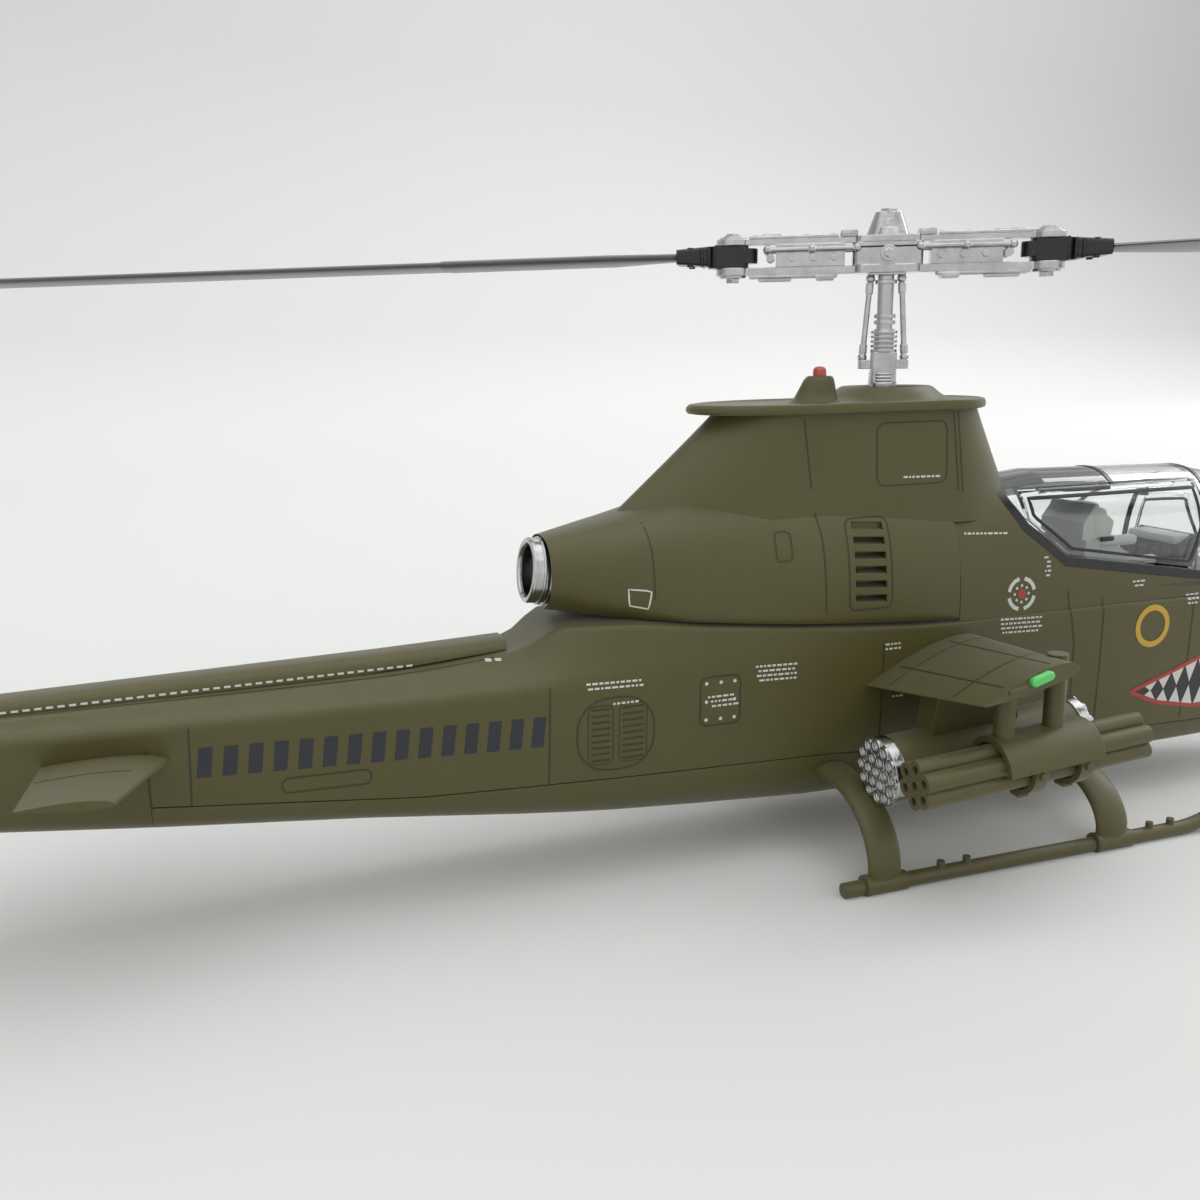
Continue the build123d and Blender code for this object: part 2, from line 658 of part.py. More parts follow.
# ---- chin turret: turns about Z, the guns rock about Y -------------------------------
turret_rim = turret_x + turret_radius
with BuildPart() as turret:
    with BuildSketch(Plane.XZ):
        with BuildLine():
            Line((turret_x, 12.1), (turret_rim, 12.1))
            Line((turret_rim, 12.1), (turret_rim, 9.4))
            Bezier((turret_rim, 9.4), (turret_rim, 5.8), (turret_x + 4, 4.4), (turret_x, 4.4))
            Line((turret_x, 4.4), (turret_x, 12.1))
        make_face()
    revolve(axis=Axis((turret_x, 0, 0), (0, 0, 1)))
    with Locations((turret_x + 3.4, 0, 6.9)):
        Box(13.2, 8.4, 8.2, mode=Mode.SUBTRACT)
turret.part.label = "turret_dome"
export_step(turret.part, "parts/turret_dome.step")

with BuildPart() as cradle:
    with Locations((gun_pivot_x, 0, gun_pivot_z)):
        Cylinder(1.0, 8.2, rotation=(90, 0, 0))
        with Locations((2.2, 0, 0)):
            Box(4.4, 7.4, 2.2)
cradle.part.label = "gun_cradle"
export_step(cradle.part, "parts/gun_cradle.step")

with BuildPart() as minigun:
    with BuildSketch(Plane(origin=(gun_pivot_x + 4.4, 2.1, gun_pivot_z), z_dir=(1, 0, 0))):
        Circle(0.95)
    extrude(amount=4.6)
    with BuildSketch(Plane(origin=(gun_pivot_x + 9.0, 2.1, gun_pivot_z), z_dir=(1, 0, 0))):
        with PolarLocations(0.55, 6):
            Circle(0.26)
        Circle(0.3)
    extrude(amount=8)
minigun.part.label = "minigun"
export_step(minigun.part, "parts/minigun.step")

with BuildPart() as launcher:
    with BuildSketch(Plane(origin=(gun_pivot_x + 4.4, -2.1, gun_pivot_z), z_dir=(1, 0, 0))):
        Circle(1.1)
        Circle(0.45, mode=Mode.SUBTRACT)
    extrude(amount=8)
launcher.part.label = "grenade_launcher"
export_step(launcher.part, "parts/grenade_launcher.step")

with BuildPart() as pitot:
    with BuildSketch(Plane(origin=(84.0, 0, 18.2), z_dir=(1, 0, 0))):
        Circle(0.45)
    extrude(amount=4.6)
    with BuildSketch(Plane(origin=(88.6, 0, 18.2), z_dir=(1, 0, 0))):
        Circle(0.28)
    extrude(amount=6)
pitot.part.label = "pitot_tube"
export_step(pitot.part, "parts/pitot_tube.step")

# ---- tail ----------------------------------------------------------------------------
def fin_section(z, lead, trail, half):
    with BuildSketch(Plane.XY.offset(z)) as section:
        with BuildLine():
            chord = lead - trail
            Bezier((lead, 0), (lead, 1.2 * half), (lead - 0.45 * chord, 1.4 * half), (trail, 0.15))
            Line((trail, 0.15), (trail, 0))
            mirror(about=Plane.XZ)
        make_face()
    return section.sketch


with BuildPart() as fin:
    loft([fin_section(21.5, -140, -167, 2.4), fin_section(33, -146, -171.5, 2.2)], ruled=True)
    loft([fin_section(33, -146, -171.5, 2.2), fin_section(72, -176, -189.5, 0.9)], ruled=True)
    add(hull.part, mode=Mode.SUBTRACT)
    add(tunnel.part, mode=Mode.SUBTRACT)
fin.part.label = "tail_fin"
export_step(fin.part, "parts/tail_fin.step")

gearbox_reach = 4.4
with BuildPart() as gearbox:
    with BuildSketch(Plane(origin=(tail_rotor_x, 0.2, tail_rotor_z), z_dir=(0, 1, 0))):
        Circle(2.4)
    extrude(amount=2.4)
    with BuildSketch(Plane(origin=(tail_rotor_x, 2.6, tail_rotor_z), z_dir=(0, 1, 0))):
        Circle(1.5)
    extrude(amount=gearbox_reach - 2.6)
    with BuildSketch(Plane(origin=(tail_rotor_x, 1.4, tail_rotor_z), z_dir=(0, 1, 0))):
        Circle(0.55)
    extrude(amount=4, mode=Mode.SUBTRACT)
    add(fin.part, mode=Mode.SUBTRACT)
gearbox.part.label = "tail_gearbox"
export_step(gearbox.part, "parts/tail_gearbox.step")

with BuildPart() as tail_skid:
    with BuildLine(Plane.XZ) as skid_line:
        Line((-160, 21.6), (-172, 18.4))
    with BuildSketch(Plane(origin=skid_line.line @ 0, z_dir=skid_line.line % 0)):
        Circle(0.5)
    sweep()
    add(fin.part, mode=Mode.SUBTRACT)
tail_skid.part.label = "tail_skid"
export_step(tail_skid.part, "parts/tail_skid.step")

# ---- main rotor ----------------------------------------------------------------------
turn = radians(rotor_angle)
span_dir = (cos(turn), -sin(turn), 0)
across_rotor = (-sin(turn), -cos(turn), 0)
rotor_plane = Plane(origin=(0, 0, 0), x_dir=span_dir, z_dir=(0, 0, 1))

with BuildPart() as mast:
    with BuildSketch(Plane.XY.offset(50.5)):
        Circle(mast_radius)
    extrude(amount=25)
    with BuildSketch(Plane.XY.offset(48.7)):
        Circle(1.9)
    extrude(amount=1.8)
mast.part.label = "mast_shaft"
export_step(mast.part, "parts/mast_shaft.step")

with BuildPart() as swash:
    with BuildSketch(rotor_plane.offset(61.6)):
        RectangleRounded(3.4, 3.0, 0.6)
        Circle(mast_radius, mode=Mode.SUBTRACT)
    extrude(amount=4.0)
    with BuildSketch(rotor_plane.offset(63.4)):
        RectangleRounded(6.6, 1.7, 0.6)
        Circle(mast_radius, mode=Mode.SUBTRACT)
    extrude(amount=1.2)
    with BuildSketch(Plane.XY.offset(59.9)):
        Circle(1.9)
        Circle(mast_radius, mode=Mode.SUBTRACT)
    extrude(amount=1.7)
swash.part.label = "swashplate"
export_step(swash.part, "parts/swashplate.step")

with BuildPart() as boot:
    for i in range(5):
        with BuildSketch(Plane.XY.offset(65.6 + 0.6 * i)):
            Circle(1.75)
            Circle(mast_radius, mode=Mode.SUBTRACT)
        extrude(amount=0.36)
        with BuildSketch(Plane.XY.offset(65.96 + 0.6 * i)):
            Circle(1.35)
            Circle(mast_radius, mode=Mode.SUBTRACT)
        extrude(amount=0.24)
boot.part.label = "mast_boot"
export_step(boot.part, "parts/mast_boot.step")

with BuildPart() as links:
    for side in (-1, 1):
        with BuildLine(Plane(origin=(0, 0, 0), x_dir=span_dir, z_dir=across_rotor)) as link_path:
            Line((side * 2.75, 64.8), (side * 2.0, 75.2))
        with BuildSketch(Plane(origin=link_path.line @ 0, z_dir=link_path.line % 0)):
            Circle(0.38)
        sweep()
links.part.label = "pitch_links"
export_step(links.part, "parts/pitch_links.step")


def yoke_outline(z, inner, reach, half):
    """Plan of one yoke half: a waist at the mast and a round eye at each end."""
    with BuildSketch(rotor_plane.offset(z)) as outline:
        RectangleRounded(2 * inner, 4.6, 1.2)
        Rectangle(2 * reach, 2 * half)
        with GridLocations(2 * reach, 1, 2, 1):
            Circle(2.2)
    return outline.sketch


with BuildPart() as yoke_lower:
    extrude(yoke_outline(75.8, 4.2, hub_reach, 1.2), amount=1.0)
    with BuildSketch(rotor_plane.offset(76.8)):
        RectangleRounded(9.0, 4.4, 1.0)
        with GridLocations(20, 1, 2, 1):
            Rectangle(9, 2.6)
    extrude(amount=2.2)
    with BuildSketch(rotor_plane.offset(75.5)):
        RectangleRounded(5.0, 3.4, 0.8)
    extrude(amount=0.3)
    with BuildSketch(rotor_plane.offset(75)):
        with GridLocations(2 * hub_reach, 1, 2, 1):
            Circle(0.72)
    extrude(amount=6, mode=Mode.SUBTRACT)
yoke_lower.part.label = "hub_yoke_lower"
export_step(yoke_lower.part, "parts/hub_yoke_lower.step")

with BuildPart() as yoke_upper:
    with BuildSketch(rotor_plane.offset(hub_height)):
        RectangleRounded(9.0, 4.4, 1.0)
        with GridLocations(20, 1, 2, 1):
            Rectangle(9, 2.6)
    extrude(amount=0.6)
    extrude(yoke_outline(79.7, 4.2, hub_reach, 1.2), amount=0.8)
    with BuildSketch(rotor_plane.offset(80.5)):
        SlotOverall(5.6, 3.6)
    with BuildSketch(rotor_plane.offset(83.5)):
        SlotOverall(3.4, 2.0)
    loft()
    with BuildSketch(rotor_plane.offset(79)):
        with GridLocations(2 * hub_reach, 1, 2, 1):
            Circle(0.72)
    extrude(amount=6, mode=Mode.SUBTRACT)
yoke_upper.part.label = "hub_yoke_upper"
export_step(yoke_upper.part, "parts/hub_yoke_upper.step")

with BuildPart() as pins:
    with BuildSketch(rotor_plane.offset(75.4)):
        with GridLocations(2 * hub_reach, 1, 2, 1):
            Circle(0.7)
    extrude(amount=5.7)
    with BuildSketch(rotor_plane.offset(80.5)):
        with GridLocations(2 * hub_reach, 1, 2, 1):
            Circle(1.2)
    extrude(amount=0.5)
pins.part.label = "blade_pins"
export_step(pins.part, "parts/blade_pins.step")

droop = radians(blade_droop)
blade_height = 78.4
for end, name in ((1, "front"), (-1, "rear")):
    out = (end * span_dir[0] * cos(droop), end * span_dir[1] * cos(droop), -sin(droop))
    chordwise = (-span_dir[1] * end, span_dir[0] * end, 0)
    root_point = Vector(0, 0, blade_height) + Vector(end * span_dir[0], end * span_dir[1], 0) * hub_reach

    with BuildPart() as block:
        with BuildSketch(Plane(origin=root_point, x_dir=span_dir, z_dir=(0, 0, 1)).offset(-1.55)):
            with Locations((end * 0.6, 0)):
                RectangleRounded(5.4, 3.4, 1.2)
        extrude(amount=2.8)
        with BuildSketch(Plane(origin=root_point, x_dir=chordwise, z_dir=out).offset(3.0)):
            RectangleRounded(3.4, 2.6, 0.5)
        with BuildSketch(Plane(origin=root_point, x_dir=chordwise, z_dir=out).offset(7.4)):
            RectangleRounded(5.2, 1.9, 0.5)
        loft()
        with BuildSketch(Plane(origin=root_point, x_dir=span_dir, z_dir=(0, 0, 1)).offset(-3)):
            Circle(0.72)
        extrude(amount=6, mode=Mode.SUBTRACT)
    block.part.label = f"blade_root_{name}"
    export_step(block.part, f"parts/blade_root_{name}.step")

    with BuildPart() as blade:
        blade_start = 7.4
        taper_end = blade_start + 9
        doubler_end = 60 - hub_reach
        blade_end = rotor_radius - hub_reach
        section_plane = Plane(origin=root_point, x_dir=chordwise, z_dir=out)
        lead_x = 0.25 * blade_chord
        # inboard stretch is narrower and carries the doubler
        neck = foil(section_plane.offset(blade_start), (2.2, 0), (-3.4, 0), 0.55, 0.55)
        lead, trail = (lead_x, 0), (lead_x - blade_chord, 0)
        full = foil(section_plane.offset(taper_end), lead, trail, 0.75, 0.75)
        loft([neck, full])
        extrude(full, amount=doubler_end - taper_end)
        extrude(foil(section_plane.offset(doubler_end), lead, trail, 0.62, 0.62), amount=blade_end - doubler_end)
    blade.part.label = f"main_blade_{name}"
    export_step(blade.part, f"parts/main_blade_{name}.step")

# ---- tail rotor ----------------------------------------------------------------------
disc_y = gearbox_reach + 0.9
with BuildPart() as tail_hub:
    with BuildSketch(Plane(origin=(tail_rotor_x, 1.6, tail_rotor_z), z_dir=(0, 1, 0))):
        Circle(0.5)
    extrude(amount=disc_y + 1.2 - 1.6)
    yoke_face = Plane(origin=(tail_rotor_x, disc_y - 0.6, tail_rotor_z), x_dir=(1, 0, 0), z_dir=(0, 1, 0))
    with BuildSketch(yoke_face):
        RectangleRounded(2.2, 6.0, 0.6)
    extrude(amount=1.2)
tail_hub.part.label = "tail_rotor_hub"
export_step(tail_hub.part, "parts/tail_rotor_hub.step")

with BuildPart() as tail_blades:
    for end in (-1, 1):
        blade_plane = Plane(origin=(tail_rotor_x, disc_y, tail_rotor_z), x_dir=(1, 0, 0), z_dir=(0, 0, end))
        half_chord = tail_rotor_chord / 2
        blade_foil = foil(blade_plane.offset(3.0), (half_chord, 0), (-half_chord, 0), 0.4, 0.4)
        extrude(blade_foil, amount=tail_rotor_radius - 3.0)
tail_blades.part.label = "tail_rotor_blades"
export_step(tail_blades.part, "parts/tail_rotor_blades.step")
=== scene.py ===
import bisect
import json
import math
import random
import bmesh
import bpy
from mathutils import Matrix, Vector
from mathutils.bvhtree import BVHTree


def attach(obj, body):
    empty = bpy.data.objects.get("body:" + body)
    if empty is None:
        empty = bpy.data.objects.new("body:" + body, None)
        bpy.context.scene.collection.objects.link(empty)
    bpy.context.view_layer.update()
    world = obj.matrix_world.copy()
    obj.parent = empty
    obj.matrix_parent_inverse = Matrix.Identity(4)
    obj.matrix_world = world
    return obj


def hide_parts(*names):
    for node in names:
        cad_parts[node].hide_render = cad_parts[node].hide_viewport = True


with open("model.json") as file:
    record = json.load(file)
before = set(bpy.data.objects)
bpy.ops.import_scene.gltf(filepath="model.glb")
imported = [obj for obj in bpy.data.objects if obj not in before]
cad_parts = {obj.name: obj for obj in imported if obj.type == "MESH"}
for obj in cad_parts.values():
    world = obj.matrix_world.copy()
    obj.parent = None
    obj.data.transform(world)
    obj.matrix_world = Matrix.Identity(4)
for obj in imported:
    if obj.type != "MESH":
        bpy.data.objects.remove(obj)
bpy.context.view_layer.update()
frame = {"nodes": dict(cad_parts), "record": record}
nodes = frame["nodes"]
mm = 0.001
print("frame loaded:", len(nodes), "nodes")

cameraSetup = {
    "place": (-0.08766, -0.13537, 0.06678),
    "heading": -19.13,       # degrees from +Y, towards the tail
    "down": 12.5,
    "roll": -0.79,
    "lens": 34.25,
}
lamps = {
    # name: place, width, power, what it points at
    "keyLight": ((0.12, 0.1, 0.85), 2.3, 7.4, (0, 0, 0.03)),
    "fillLight": ((-0.5, -0.6, 0.45), 0.6, 0.25, (0, 0, 0.03)),
    "backdropLight": ((0.5, 0.2, 1.2), 1.0, 0.8, (0.6, 0.8, 0.35)),
    "backdropRight": ((1.3, 0.2, 0.9), 0.9, 9.5, (1.1, 0.8, 0.4)),
}
sky = {"strength": 1.15, "low": (0.80, 0.815, 0.80, 1), "high": (0.74, 0.74 * 1.02, 0.74 * 1.01, 1), "highFrom": 0.55}


def makeCamera(setup):
    heading, down, roll = (math.radians(setup[k]) for k in ("heading", "down", "roll"))
    ahead = Vector((-math.sin(heading) * math.cos(down), math.cos(heading) * math.cos(down), -math.sin(down)))
    right = Vector((math.cos(heading), math.sin(heading), 0))
    up = right.cross(ahead)
    rolledRight = math.cos(roll) * right + math.sin(roll) * up
    rolledUp = -math.sin(roll) * right + math.cos(roll) * up
    turn = Matrix((rolledRight, rolledUp, -ahead)).transposed().to_4x4()
    data = bpy.data.cameras.new("camera")
    data.lens = setup["lens"]
    data.sensor_width = 36
    data.clip_start = 0.005
    data.clip_end = 50
    camera = bpy.data.objects.new("camera", data)
    bpy.context.scene.collection.objects.link(camera)
    camera.matrix_world = Matrix.Translation(setup["place"]) @ turn
    bpy.context.scene.camera = camera


def areaLight(name, place, size, power, target):
    data = bpy.data.lights.new(name, "AREA")
    data.shape = "DISK"
    data.size = size
    data.energy = power
    lamp = bpy.data.objects.new(name, data)
    bpy.context.scene.collection.objects.link(lamp)
    away = Vector(place) - Vector(target)
    lamp.matrix_world = Matrix.Translation(place) @ away.to_track_quat("Z", "Y").to_matrix().to_4x4()


# colours by height, from (height, colour) pairs
def heightRamp(tree, coordinate, shades):
    coord = tree.nodes.new("ShaderNodeTexCoord")
    split = tree.nodes.new("ShaderNodeSeparateXYZ")
    ramp = tree.nodes.new("ShaderNodeValToRGB")
    tree.links.new(coord.outputs[coordinate], split.inputs[0])
    tree.links.new(split.outputs["Z"], ramp.inputs["Fac"])
    steps = ramp.color_ramp.elements
    for step, (height, colour) in ((steps[0], shades[0]), (steps[1], shades[-1])):
        step.position, step.color = height, colour
    for height, colour in shades[1:-1]:
        steps.new(height).color = colour
    return ramp.outputs["Color"]


def vertsIn(geom):
    return [g for g in geom if isinstance(g, bmesh.types.BMVert)]


def turnUpright(bm, degrees):
    bmesh.ops.rotate(bm, verts=bm.verts[:], cent=(0, 0, 0), matrix=Matrix.Rotation(math.radians(degrees), 3, "Z"))


def makeSky():
    world = bpy.data.worlds.new("softRoom")
    bpy.context.scene.world = world
    world.use_nodes = True
    tree = world.node_tree
    back = tree.nodes["Background"]
    tones = heightRamp(tree, "Generated", [(0.0, sky["low"]), (sky["highFrom"], sky["high"])])
    tree.links.new(tones, back.inputs["Color"])
    back.inputs["Strength"].default_value = sky["strength"]


paper = {
    "bendStart": 0.55, "bendRadius": 0.5, "bendSteps": 12, "height": 4.0, "width": 10.0, "turn": 19.13,
    # by height: the paper's own tone on the floor, then darker up the curve, a painted shade for the light falling off
    "shades": [(0.0, (0.70, 0.70, 0.69, 1)), (0.08, (0.585, 0.585, 0.58, 1)), (0.35, (0.495, 0.495, 0.495, 1))],
}


# a pale paper sweep: flat under the model, then curving up behind it, its colour darkening with height as painted
# shade
def makeFloor():
    bm = bmesh.new()
    bend, radius = paper["bendStart"], paper["bendRadius"]
    section = [(-4.0, 0.0), (bend, 0.0)]
    for k in range(1, paper["bendSteps"] + 1):
        turn = math.radians(90 / paper["bendSteps"] * k)
        section.append((bend + radius * math.sin(turn), radius - radius * math.cos(turn)))
    section.append((bend + radius, paper["height"]))
    start = [bm.verts.new((-0.5 * paper["width"], y, z)) for y, z in section]
    edges = [bm.edges.new(pair) for pair in zip(start, start[1:])]
    swept = bmesh.ops.extrude_edge_only(bm, edges=edges)["geom"]
    bmesh.ops.translate(bm, vec=(paper["width"], 0, 0), verts=vertsIn(swept))
    for face in bm.faces:
        face.smooth = True
    turnUpright(bm, paper["turn"])
    data = bpy.data.meshes.new("sweep")
    bm.to_mesh(data)
    bm.free()
    floor = bpy.data.objects.new("sweep", data)
    bpy.context.scene.collection.objects.link(floor)
    mat = bpy.data.materials.new("paperWithPaintedShade")
    mat.use_nodes = True
    shader = mat.node_tree.nodes["Principled BSDF"]
    # painted shade: the base colour darkens as the sweep rises
    mat.node_tree.links.new(heightRamp(mat.node_tree, "Object", paper["shades"]), shader.inputs["Base Color"])
    shader.inputs["Roughness"].default_value = 0.6
    shader.inputs["Specular IOR Level"].default_value = 0.2
    data.materials.append(mat)


bpy.context.scene.view_settings.view_transform = "Standard"
makeCamera(cameraSetup)
makeSky()
for lampName, lampSetup in lamps.items():
    areaLight(lampName, *lampSetup)
makeFloor()
print("camera, light and floor done")


# shared shader effects, as node groups
def newGroup(name, inputs, outputs):
    group = bpy.data.node_groups.new(name, "ShaderNodeTree")
    for label, kind, value in inputs:
        socket = group.interface.new_socket(label, in_out="INPUT", socket_type=kind)
        socket.default_value = value
    for label, kind in outputs:
        group.interface.new_socket(label, in_out="OUTPUT", socket_type=kind)
    return group, group.nodes.new("NodeGroupInput"), group.nodes.new("NodeGroupOutput")


# one Math node; a and b are sockets or numbers
def math2(tree, operation, a, b=None, clamp=False):
    node = tree.nodes.new("ShaderNodeMath")
    node.operation = operation
    node.use_clamp = clamp
    for i, value in enumerate((a, b)):
        if value is None:
            continue
        if isinstance(value, (int, float)):
            node.inputs[i].default_value = value
        else:
            tree.links.new(value, node.inputs[i])
    return node.outputs[0]


def noise(tree, vector, scale, detail=3.0, rough=0.55):
    node = tree.nodes.new("ShaderNodeTexNoise")
    node.inputs["Detail"].default_value = detail
    node.inputs["Roughness"].default_value = rough
    if isinstance(scale, (int, float)):
        node.inputs["Scale"].default_value = scale
    else:
        tree.links.new(scale, node.inputs["Scale"])
    tree.links.new(vector, node.inputs["Vector"])
    return node.outputs["Fac"]


# sprayed paint: broad mottling, fine specks and an orange-peel height
def buildSprayGrain():
    group, start, end = newGroup(
        "sprayGrain",
        [("Mottle Scale", "NodeSocketFloat", 90.0), ("Speck Scale", "NodeSocketFloat", 4200.0)],
        [("Mottle", "NodeSocketFloat"), ("Speck", "NodeSocketFloat"), ("Height", "NodeSocketFloat")],
    )
    coord = group.nodes.new("ShaderNodeTexCoord").outputs["Object"]
    mottle = noise(group, coord, start.outputs["Mottle Scale"], 4.0)
    speck = noise(group, coord, start.outputs["Speck Scale"], 2.0, 0.7)
    peel = noise(group, coord, math2(group, "MULTIPLY", start.outputs["Speck Scale"], 0.4), 2.0)
    group.links.new(mottle, end.inputs["Mottle"])
    group.links.new(math2(group, "GREATER_THAN", speck, 0.66), end.inputs["Speck"])
    group.links.new(math2(group, "ADD", peel, math2(group, "MULTIPLY", speck, 0.4)), end.inputs["Height"])
    return group


# a mask that is 1 on convex edges, broken up by noise, and the softened normal: it lays edge wear, and on the silver
# parts a painted highlight along the edges
def buildEdgeWearAndHighlight():
    group, start, end = newGroup(
        "edgeWearAndHighlight",
        [("Radius", "NodeSocketFloat", 0.0002), ("Amount", "NodeSocketFloat", 1.0)],
        [("Mask", "NodeSocketFloat"), ("Soft Normal", "NodeSocketVector")],
    )
    bevel = group.nodes.new("ShaderNodeBevel")
    bevel.samples = 4
    group.links.new(start.outputs["Radius"], bevel.inputs["Radius"])
    geometry = group.nodes.new("ShaderNodeNewGeometry")
    dot = group.nodes.new("ShaderNodeVectorMath")
    dot.operation = "DOT_PRODUCT"
    group.links.new(bevel.outputs["Normal"], dot.inputs[0])
    group.links.new(geometry.outputs["Normal"], dot.inputs[1])
    bend = math2(group, "MULTIPLY", math2(group, "SUBTRACT", 1.0, dot.outputs["Value"]), 9.0, clamp=True)
    coord = group.nodes.new("ShaderNodeTexCoord").outputs["Object"]
    patch = math2(group, "MULTIPLY", noise(group, coord, 700.0, 3.0), 1.6, clamp=True)
    wornAndHighlight = math2(group, "MULTIPLY", math2(group, "MULTIPLY", bend, patch), start.outputs["Amount"], clamp=True)
    group.links.new(wornAndHighlight, end.inputs["Mask"])
    group.links.new(bevel.outputs["Normal"], end.inputs["Soft Normal"])
    return group


# fine pale dust: more on faces that look up, in soft patches
def buildSettledDust():
    group, start, end = newGroup(
        "settledDust", [("Amount", "NodeSocketFloat", 0.25)], [("Mask", "NodeSocketFloat")]
    )
    geometry = group.nodes.new("ShaderNodeNewGeometry")
    split = group.nodes.new("ShaderNodeSeparateXYZ")
    group.links.new(geometry.outputs["Normal"], split.inputs[0])
    upward = math2(group, "MAXIMUM", split.outputs["Z"], 0.0)
    coord = group.nodes.new("ShaderNodeTexCoord").outputs["Object"]
    patch = noise(group, coord, 220.0, 4.0)
    fleck = math2(group, "GREATER_THAN", noise(group, coord, 2600.0, 1.0), 0.71)
    mask = math2(group, "ADD", math2(group, "MULTIPLY", upward, patch), math2(group, "MULTIPLY", fleck, 0.5))
    group.links.new(math2(group, "MULTIPLY", mask, start.outputs["Amount"], clamp=True), end.inputs["Mask"])
    return group


sprayGrain = buildSprayGrain()
edgeWearAndHighlight = buildEdgeWearAndHighlight()
settledDust = buildSettledDust()


def groupNode(tree, group, **values):
    node = tree.nodes.new("ShaderNodeGroup")
    node.node_tree = group
    for label, value in values.items():
        node.inputs[label.replace("_", " ")].default_value = value
    return node


def mixColour(tree, factor, a, b):
    node = tree.nodes.new("ShaderNodeMix")
    node.data_type = "RGBA"
    for socket, value in ((node.inputs[0], factor), (node.inputs[6], a), (node.inputs[7], b)):
        if isinstance(value, (int, float)):
            socket.default_value = value
        elif isinstance(value, tuple):
            socket.default_value = (*value, 1.0)
        else:
            tree.links.new(value, socket)
    return node.outputs[2]


def setAll(shader, values):
    for label, value in values.items():
        shader.inputs[label].default_value = value


def addBump(tree, shader, height, strength, depth):
    bump = tree.nodes.new("ShaderNodeBump")
    setAll(bump, {"Strength": strength, "Distance": depth})
    tree.links.new(height, bump.inputs["Height"])
    tree.links.new(bump.outputs["Normal"], shader.inputs["Normal"])
    return bump


# what a finish has unless its own entry says otherwise
plainLook = {
    "mottle": 90.0, "speck": 4200.0, "edge": 0.0002, "wearAndHighlight": 0.4, "dust": 0.15, "dustTone": (0.55, 0.54, 0.48),
    "fleck": 0.25, "roughSpread": 0.12, "bump": 0.2, "bumpDepth": 0.00004, "metal": 0.0, "specular": 0.5,
    "coat": 0.0, "sheen": 0.0,
}


# a sprayed or moulded finish, from its colour, light and edge tones, roughness and effect strengths; the edge tone is
# wear, and on silver a painted highlight
def paintedFinish(name, own):
    look = {**plainLook, **own}
    mat = bpy.data.materials.new(name)
    mat.use_nodes = True
    tree = mat.node_tree
    shader = tree.nodes["Principled BSDF"]
    grain = groupNode(tree, sprayGrain, Mottle_Scale=look["mottle"], Speck_Scale=look["speck"])
    wearAndHighlight = groupNode(tree, edgeWearAndHighlight, Radius=look["edge"], Amount=look["wearAndHighlight"])
    dust = groupNode(tree, settledDust, Amount=look["dust"])
    colour = mixColour(tree, grain.outputs["Mottle"], look["colour"], look["light"])
    flecked = math2(tree, "MULTIPLY", grain.outputs["Speck"], look["fleck"])
    colour = mixColour(tree, flecked, colour, look["light"])
    # edge tone over convex edges: wear, and on silver a near-white painted highlight
    colour = mixColour(tree, wearAndHighlight.outputs["Mask"], colour, look["wornAndHighlight"])
    colour = mixColour(tree, dust.outputs["Mask"], colour, look["dustTone"])
    tree.links.new(colour, shader.inputs["Base Color"])
    spread = math2(tree, "MULTIPLY", grain.outputs["Mottle"], look["roughSpread"])
    rough = math2(tree, "ADD", spread, look["rough"])
    rough = math2(tree, "ADD", rough, math2(tree, "MULTIPLY", dust.outputs["Mask"], 0.3), clamp=True)
    tree.links.new(rough, shader.inputs["Roughness"])
    bump = addBump(tree, shader, grain.outputs["Height"], look["bump"], look["bumpDepth"])
    tree.links.new(wearAndHighlight.outputs["Soft Normal"], bump.inputs["Normal"])
    setAll(shader, {"Metallic": look["metal"], "Specular IOR Level": look["specular"], "Coat Weight": look["coat"],
                    "Coat Roughness": 0.12, "Sheen Weight": look["sheen"], "Sheen Roughness": 0.42})
    return mat


